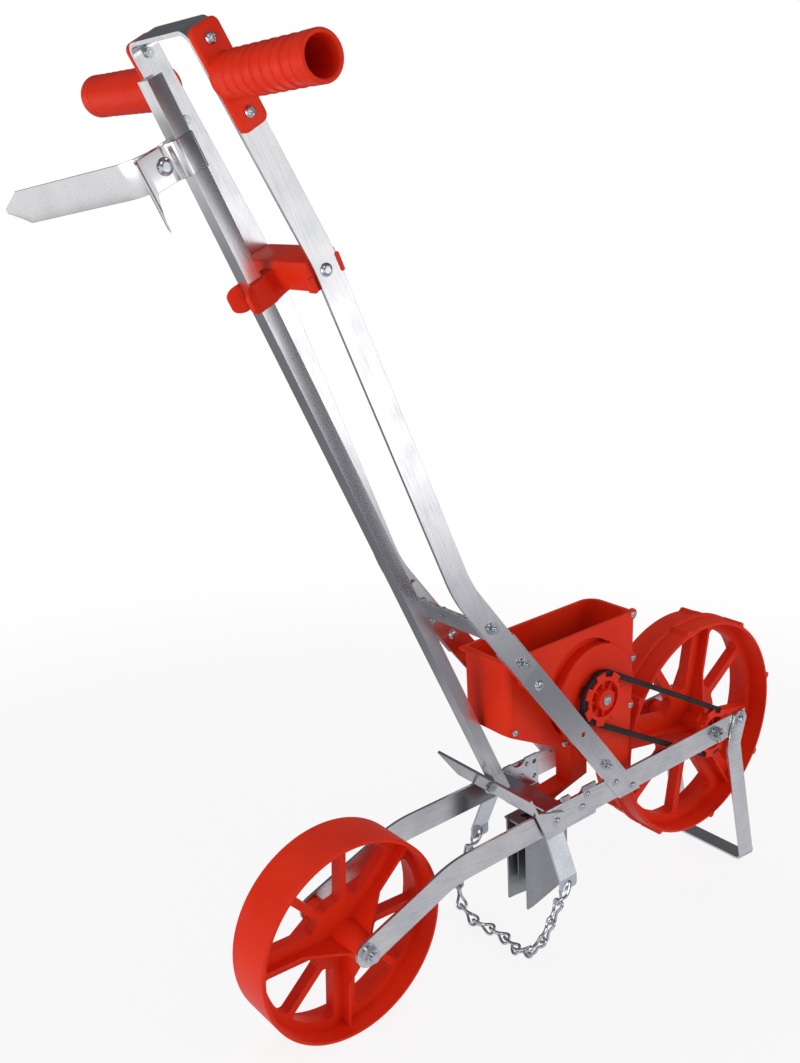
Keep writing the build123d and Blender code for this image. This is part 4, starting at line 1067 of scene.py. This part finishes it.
@dataclass(frozen=True)
class DragChain:
    """Knotted double-loop chain, hung from both bracket arms with its middle on the floor, in mm."""

    hole: tuple[float, float] = (251.0, 77.0)
    half_y: float = 70.5
    links: int = 13
    wire_r: float = 1.75
    loop_wide: float = 5.3
    play: float = 0.7
    lying: float = 5.55

    def route(self) -> np.ndarray:
        """The chain's line: a Catmull-Rom curve through listed points, from arm to arm.

        Returns:
            Points along the line, in mm.
        """
        x, _, z = MACHINE.point(self.hole[0], 0, self.hole[1]) / MM
        y = self.half_y
        lying = self.lying
        points = np.array(
            [
                (0, -y, z),
                (-8, 3 - y, z - 20),
                (-14, 6 - y, 62),
                (-20, 9 - y, 42),
                (-25, 16 - y, 24),
                (-28, 30 - y, lying + 6),
                (-25, -20, lying),
                (-19, 3, lying),
                (-22, 26, lying),
                (-27, 46, lying + 1),
                (-29, y - 9, lying + 8),
                (-27, y + 3, 32),
                (-22, y + 7, 54),
                (-14, y + 5, 77),
                (0, y, z),
            ],
            float,
        )
        points[:, 0] += x
        padded = np.concatenate((2 * points[:1] - points[1:2], points, 2 * points[-1:] - points[-2:-1]))
        t = np.linspace(0, 1, 24, endpoint=False)[:, None]
        weights = 0.5 * np.concatenate(
            (-t + 2 * t**2 - t**3, 2 - 5 * t**2 + 3 * t**3, t + 4 * t**2 - 3 * t**3, -(t**2) + t**3), axis=1
        )
        spans = np.stack((padded[:-3], padded[1:-2], padded[2:-1], padded[3:]), axis=1)
        line = np.einsum("tk,skc->stc", weights, spans).reshape(-1, 3)
        return np.concatenate((line, points[-1:]))

    def link(self, middle: np.ndarray, along: np.ndarray, half: float, roll: float, hung: int) -> Shell:
        """One link, knotted unless it hangs in a bracket's hole.

        The wire's place at t is half times cosine t along the link and loop_wide times sine 2t across
        it; the two strands pass each other at the knot, and the link turns by 90 degrees end to end.
        A hung link is one open loop, with sine t for sine 2t, that turns only beyond the bracket.

        Args:
            middle: The link's middle.
            along: Its direction.
            half: Half its length at the wire's middle.
            roll: Its turn about its own length, in radians.
            hung: -1 if its start hangs in a hole, 1 if its end does, else 0.

        Returns:
            The link's surface.
        """
        t = np.arange(72) * 2 * math.pi / 72
        s = half * np.cos(t)
        a = self.loop_wide * np.sin(2 * t)
        b = 1.15 * self.wire_r * np.sin(t)
        twist = roll + np.cos(t) * math.pi / 4
        if hung:
            a = self.loop_wide * np.sin(t)
            b = 0.0 * t
            twist = hung * math.pi / 2 * smooth((hung * np.cos(t) + 1) / 1.2)
        first = unit(np.array((1.0, 0.0, 0.0)) - along[0] * along)
        second = np.cross(along, first)
        p = a * np.cos(twist) - b * np.sin(twist)
        q = a * np.sin(twist) + b * np.cos(twist)
        path = middle + s[:, None] * along + p[:, None] * first + q[:, None] * second
        guide = -np.sin(twist)[:, None] * first + np.cos(twist)[:, None] * second
        return wire_loop(MM * path, guide, MM * self.wire_r)

    def build(self) -> None:
        """Make all links between evenly spaced joints on the route, the rolls easing along the chain."""
        joints = shared_out(self.route(), self.links + 1)
        spans = np.diff(joints, axis=0)
        turn = np.cos(np.linspace(0, math.pi, self.links))
        rolls = -math.pi / 4 * turn * np.abs(turn)
        halves = np.linalg.norm(spans, axis=1) / 2 + self.wire_r + self.play
        hung = [-1] + [0] * (self.links - 2) + [1]
        middles = joints[:-1] + spans / 2
        shells = [self.link(*values) for values in zip(middles, unit(spans), halves, rolls, hung)]
        cast("knotted_drag_chain", shells, Finish.ZINC, "chain", "drag_chain")


@dataclass(frozen=True)
class Stand:
    """A flat bar bent as a wide U: octagonal heads, edgewise knees, soft bends and a flat foot, in mm."""

    pivot: tuple[float, float] = (576.0, 148.0)
    knee: tuple[float, float] = (566.0, 117.0)
    wide: float = 25.4
    bend_r: float = 10.0
    knee_r: float = 25.0
    edge: float = 0.7
    step: float = 1.2

    def build(self) -> None:
        """Carry the bar's section along the U; across is world X made square to the path.

        At each end the half width grows evenly with the run, from an octagon's half side.
        """
        y = STOCK.rail_out + STOCK.gap + STOCK.bar_t / 2
        pivot, knee = (MACHINE.point(x, 0, z) for x, z in (self.pivot, self.knee))
        head = pivot + unit(pivot - knee) * MM * self.wide / 2
        foot = np.array((0.0, 0.0, MM * STOCK.bar_t / 2))
        right = [point + np.array((0.0, -MM * y, 0.0)) for point in (head, knee, foot)]
        left = [point * np.array((1.0, -1.0, 1.0)) for point in reversed(right)]
        radii = MM * np.array((self.knee_r, self.bend_r, self.bend_r, self.knee_r))
        path = rounded(right + left, radii, MM * self.step)
        run = run_lengths(path) / MM
        end = np.minimum(run, run[-1] - run)
        octagon = self.wide / 2 * math.tan(math.pi / 8)
        half = MM * np.minimum(self.wide / 2, octagon + end)
        bar = flat_bar(path, (1.0, 0.0, 0.0), -half, half, MM * STOCK.bar_t, MM * self.edge)
        cast("bent_stand", [bar], Finish.BAR, "stand", "stand")


@dataclass(frozen=True)
class SeedDrive:
    """The belt round both pulleys and the screws of the hopper cover, in mm."""

    drive: tuple[float, float] = (337.5, 257.5)
    axle: tuple[float, float] = (534.0, 143.5)
    belt_y: float = -40.6
    pitch_r: float = 29.0
    belt_half: float = 3.1
    belt_edge: float = 1.1
    cover_y: float = -31.0
    hub_y: float = -49.8
    screws_at: tuple = ((400, 335), (400, 282), (396, 225), (289, 216), (216, 255.5))

    def belt(self) -> None:
        """A square-shouldered belt: its section carried round two half circles and two straights."""
        start, stop = np.array(self.drive), np.array(self.axle)
        along = unit(stop - start)
        above = np.array((-along[1], along[0]))
        turn = np.linspace(0, math.pi, 48)
        half_turn = self.pitch_r * (np.cos(turn)[:, None] * above + np.sin(turn)[:, None] * along)
        loop = np.concatenate((stop + half_turn, start - half_turn, stop + half_turn[:1]))
        even = spaced(loop, 2.0)[:-1]
        path = MACHINE.point(even[:, 0], self.belt_y, even[:, 1])
        half = MM * self.belt_half
        bar = flat_bar(path, (0.0, 1.0, 0.0), -half, half, 2 * half, MM * self.belt_edge, closed=True)
        cast("square_drive_belt", [bar], Finish.RUBBER, "frame", "drive_belt")

    def build(self) -> None:
        """Make the belt and the screws, each cross turned its own way."""
        self.belt()
        right = np.array((0.0, -1.0, 0.0))
        small = PanScrew(head_r=3.9, head_h=2.2, shank_long=12.0)
        seats = [MACHINE.point(x, self.cover_y, z) for x, z in self.screws_at]
        heads = [small.build(seat, right, 37.0 * k) for k, seat in enumerate(seats)]
        cast("cover_pan_screws", heads, Finish.ZINC, "frame", "cover_screws")
        hub = PanScrew(head_r=5.0, head_h=2.4, shank_long=11.0)
        seat = MACHINE.point(self.drive[0], self.hub_y, self.drive[1])
        cast("hub_pan_screw", [hub.build(seat, right)], Finish.ZINC, "seed_drive", "hub_screw")


class Reach(Enum):
    """What a lamp does: light matt surfaces, show in reflections, or both."""

    MATT = "matt"
    SHINE = "shine"
    BOTH = "both"


@dataclass(frozen=True)
class SoftLamp:
    """A square soft lamp: where it hangs, its side in metres, its power in watts and what it does."""

    name: str
    at: tuple[float, float, float]
    size: float
    power: float
    reach: Reach = Reach.BOTH

    def hang(self, target: tuple[float, float, float]) -> None:
        """Hang the lamp.

        Args:
            target: The point that it faces.
        """
        data = bpy.data.lights.new(self.name, "AREA")
        data.size = self.size
        data.energy = self.power
        lamp = bpy.data.objects.new(self.name, data)
        lamp.visible_diffuse = self.reach is not Reach.SHINE
        lamp.visible_glossy = self.reach is not Reach.MATT
        facing = (Vector(target) - Vector(self.at)).to_track_quat("-Z", "Y")
        lamp.matrix_world = Matrix.Translation(self.at) @ facing.to_matrix().to_4x4()
        bpy.context.scene.collection.objects.link(lamp)


@dataclass(frozen=True)
class Studio:
    """Pale floor, soft lamps and the camera at the photograph's viewing angle, in metres.

    The camera sees a white floor and background; for glossy rays the floor glows with painted
    stripes across the planter and white behind it, a painted reflection on the metal, under a dim room.
    """

    eye_from_axle: tuple[float, float, float] = (-0.5966, -0.8181, 0.6637)
    yaw_deg: float = 51.1
    pitch_deg: float = 14.15
    roll_deg: float = 1.53
    focal_px: float = 1151.9
    frame_px: tuple[int, int] = (800, 1063)
    sensor_mm: float = 36.0
    floor_half: float = 30.0
    white: str = "#FFFFFF"
    white_from: float = 0.8
    white_to: float = 1.6
    white_share: tuple[float, float] = (0.86, 1.0)
    across: tuple[float, float] = (0.4, -1.6)
    # Painted reflection: grey and pale stripes across the planter that the floor glows with for glossy rays only,
    # to set the tones that metal reflects
    mirrored: tuple = (
        (0.0, "#78787F"),
        (0.15, "#CECED2"),
        (0.37, "#CECED2"),
        (0.46, "#75757D"),
        (0.58, "#7C7C84"),
        (0.75, "#B4B4BB"),
        (0.95, "#EAEAEE"),
    )
    rear: tuple[float, float] = (-1.15, -1.5)
    soft: float = 0.46
    dim: float = 0.15
    middle: tuple[float, float, float] = (-0.35, 0.0, 0.4)
    lamps: tuple[SoftLamp, ...] = (
        SoftLamp("key", (-2.0, -0.2, 0.35), 1.0, 10),
        SoftLamp("fill", (0.9, -1.9, 1.0), 1.8, 17, Reach.MATT),
        SoftLamp("rim", (0.6, 1.9, 2.0), 1.6, 12, Reach.MATT),
        SoftLamp("panel", (0.6, -2.0, 0.9), 1.8, 8.6, Reach.SHINE),
        SoftLamp("spark", (-1.7, -1.9, 2.0), 0.6, 6, Reach.SHINE),
    )

    def camera(self) -> None:
        """Place the camera from its eye point, heading, downward pitch and roll."""
        yaw, pitch, roll = (math.radians(a) for a in (self.yaw_deg, self.pitch_deg, self.roll_deg))
        ahead = Vector((math.cos(yaw) * math.cos(pitch), math.sin(yaw) * math.cos(pitch), -math.sin(pitch)))
        level = Vector((math.sin(yaw), -math.cos(yaw), 0))
        over = level.cross(ahead)
        right = math.cos(roll) * level + math.sin(roll) * over
        above = right.cross(ahead)
        data = bpy.data.cameras.new("camera")
        data.sensor_width = self.sensor_mm
        data.lens = self.focal_px / max(self.frame_px) * self.sensor_mm
        data.clip_end = 100
        eye = bpy.data.objects.new("camera", data)
        turn = Matrix((right, above, -ahead)).transposed().to_4x4()
        eye.matrix_world = Matrix.Translation(Vector(REAR_AXLE) + Vector(self.eye_from_axle)) @ turn
        bpy.context.scene.collection.objects.link(eye)
        bpy.context.scene.camera = eye

    def floor(self) -> None:
        """Lay a white paper floor with a soft shadow near the planter, which is plain white farther off; for
        glossy rays it glows instead with painted stripes, a painted reflection for the metal.
        """
        half = self.floor_half
        corners = [(-half, -half, 0), (half, -half, 0), (half, half, 0), (-half, half, 0)]
        mesh = bpy.data.meshes.new("floor")
        mesh.from_pydata(corners, [], [(0, 1, 2, 3)])
        ground = bpy.data.objects.new("floor", mesh)
        bpy.context.scene.collection.objects.link(ground)
        g = Graph("matt white paper")
        place = g.add("TexCoord").outputs["Object"]
        fibre = g.add("TexNoise", Vector=place, Scale=400.0, Detail=2.0)
        lit = g.ramp(fibre.outputs["Fac"], [(0.3, "#F4F4F4"), (0.7, "#F8F8F8")])
        rays = g.add("LightPath")
        away = g.add("VectorMath", {"operation": "DISTANCE"}, i0=place, i1=(*self.middle[:2], 0.0))
        split = g.add("SeparateXYZ", i0=place)
        across = g.add("MapRange", i0=split.outputs["Y"], i1=self.across[0], i2=self.across[1])
        # Painted reflection: stripes across the planter and white behind it, which only glossy rays see
        painted_stripes = g.ramp(across.outputs[0], list(self.mirrored))
        behind = g.add("MapRange", i0=split.outputs["X"], i1=self.rear[0], i2=self.rear[1])
        mirrored = g.add("MixRGB", i0=behind.outputs[0], i1=painted_stripes, i2=linear(self.white))
        matt = g.add("BsdfPrincipled", Base_Color=lit, Roughness=0.9, Specular_IOR_Level=0.1)
        # The floor glows with these painted reflection colours for glossy rays, though it is no lamp
        painted_reflection_glow = g.add("Emission", Color=mirrored.outputs[0], Strength=1.0)
        paper = g.add("MixShader", i0=rays.outputs["Is Glossy Ray"], i1=matt.outputs[0], i2=painted_reflection_glow.outputs[0])
        far = g.add(
            "MapRange",
            {"interpolation_type": "SMOOTHSTEP"},
            i0=away.outputs["Value"],
            i1=self.white_from,
            i2=self.white_to,
        )
        lifted = g.add("MapRange", i0=far.outputs[0], i3=self.white_share[0], i4=self.white_share[1])
        seen = rays.outputs["Is Camera Ray"]
        share = g.add("Math", {"operation": "MULTIPLY"}, i0=seen, i1=lifted.outputs[0])
        white = g.add("Emission", Color=linear(self.white), Strength=1.0)
        g.show(g.add("MixShader", i0=share.outputs[0], i1=paper.outputs[0], i2=white.outputs[0]))
        mesh.materials.append(g.material)

    def world(self) -> None:
        """Light everything softly, with a white background for the eye and a dim room for reflections."""
        world = bpy.data.worlds.new("studio")
        bpy.context.scene.world = world
        world.use_nodes = True
        g = Graph("studio", world.node_tree, "OutputWorld")
        rays = g.add("LightPath")
        soft = g.add("Background", Color=linear("#F2F3F6"), Strength=self.soft)
        dim = g.add("Background", Color=linear("#DADCE2"), Strength=self.dim)
        white = g.add("Background", Color=linear(self.white), Strength=1.0)
        unseen = g.add("MixShader", i0=rays.outputs["Is Glossy Ray"], i1=soft.outputs[0], i2=dim.outputs[0])
        seen = rays.outputs["Is Camera Ray"]
        g.show(g.add("MixShader", i0=seen, i1=unseen.outputs[0], i2=white.outputs[0]))

    def build(self) -> None:
        """Set up the whole studio."""
        self.camera()
        self.floor()
        self.world()
        for lamp in self.lamps:
            lamp.hang(self.middle)
        bpy.context.scene.view_settings.view_transform = "Standard"


def drawn_lines() -> dict[str, tuple[str, tuple]]:
    """Direction of the drawn lines on each bar that doesn't run along the planter.

    Returns:
        By node, a word for the bar and the direction that it runs in.
    """
    marker = ("up the marker", tuple(MARKER.up()))
    lower = ("up the lower bars", tuple(MACHINE.heading(-0.62, 0.78)))
    return {
        "handle_loop": ("up the handle", tuple(LEGS.at(*LEGS.elbow, 0) - LEGS.at(*LEGS.knee, 0))),
        "handle_brace": ("over the brace", (0.0, 1.0, 0.0)),
        "marker_bar": marker,
        "marker_strip": marker,
        "left_lower_bar": lower,
        "right_lower_bar": lower,
    }


def dress_frame() -> None:
    """Give each carried-over node the finish of its slot, with its lines along the bar."""
    by_slot = {finish.slot: finish for finish in Finish}
    lines = drawn_lines()
    for part in frame["record"]["subparts"]:
        node = frame["nodes"][part["node"]]
        node.data.materials.clear()
        node.data.materials.append(by_slot[part["material_slot"]].material(*lines.get(part["node"], ())))
        LOG.info("dressed %s", part["node"])


def main() -> None:
    """Build the studio and every sub-assembly."""
    logging.basicConfig(level=logging.INFO, format="%(message)s")
    Studio().build()
    dress_frame()
    for part in (LEGS, MarkerClamp(), MarkerClip(), DragChain(), Stand(), SeedDrive()):
        part.build()


if __name__ == "__main__":
    main()
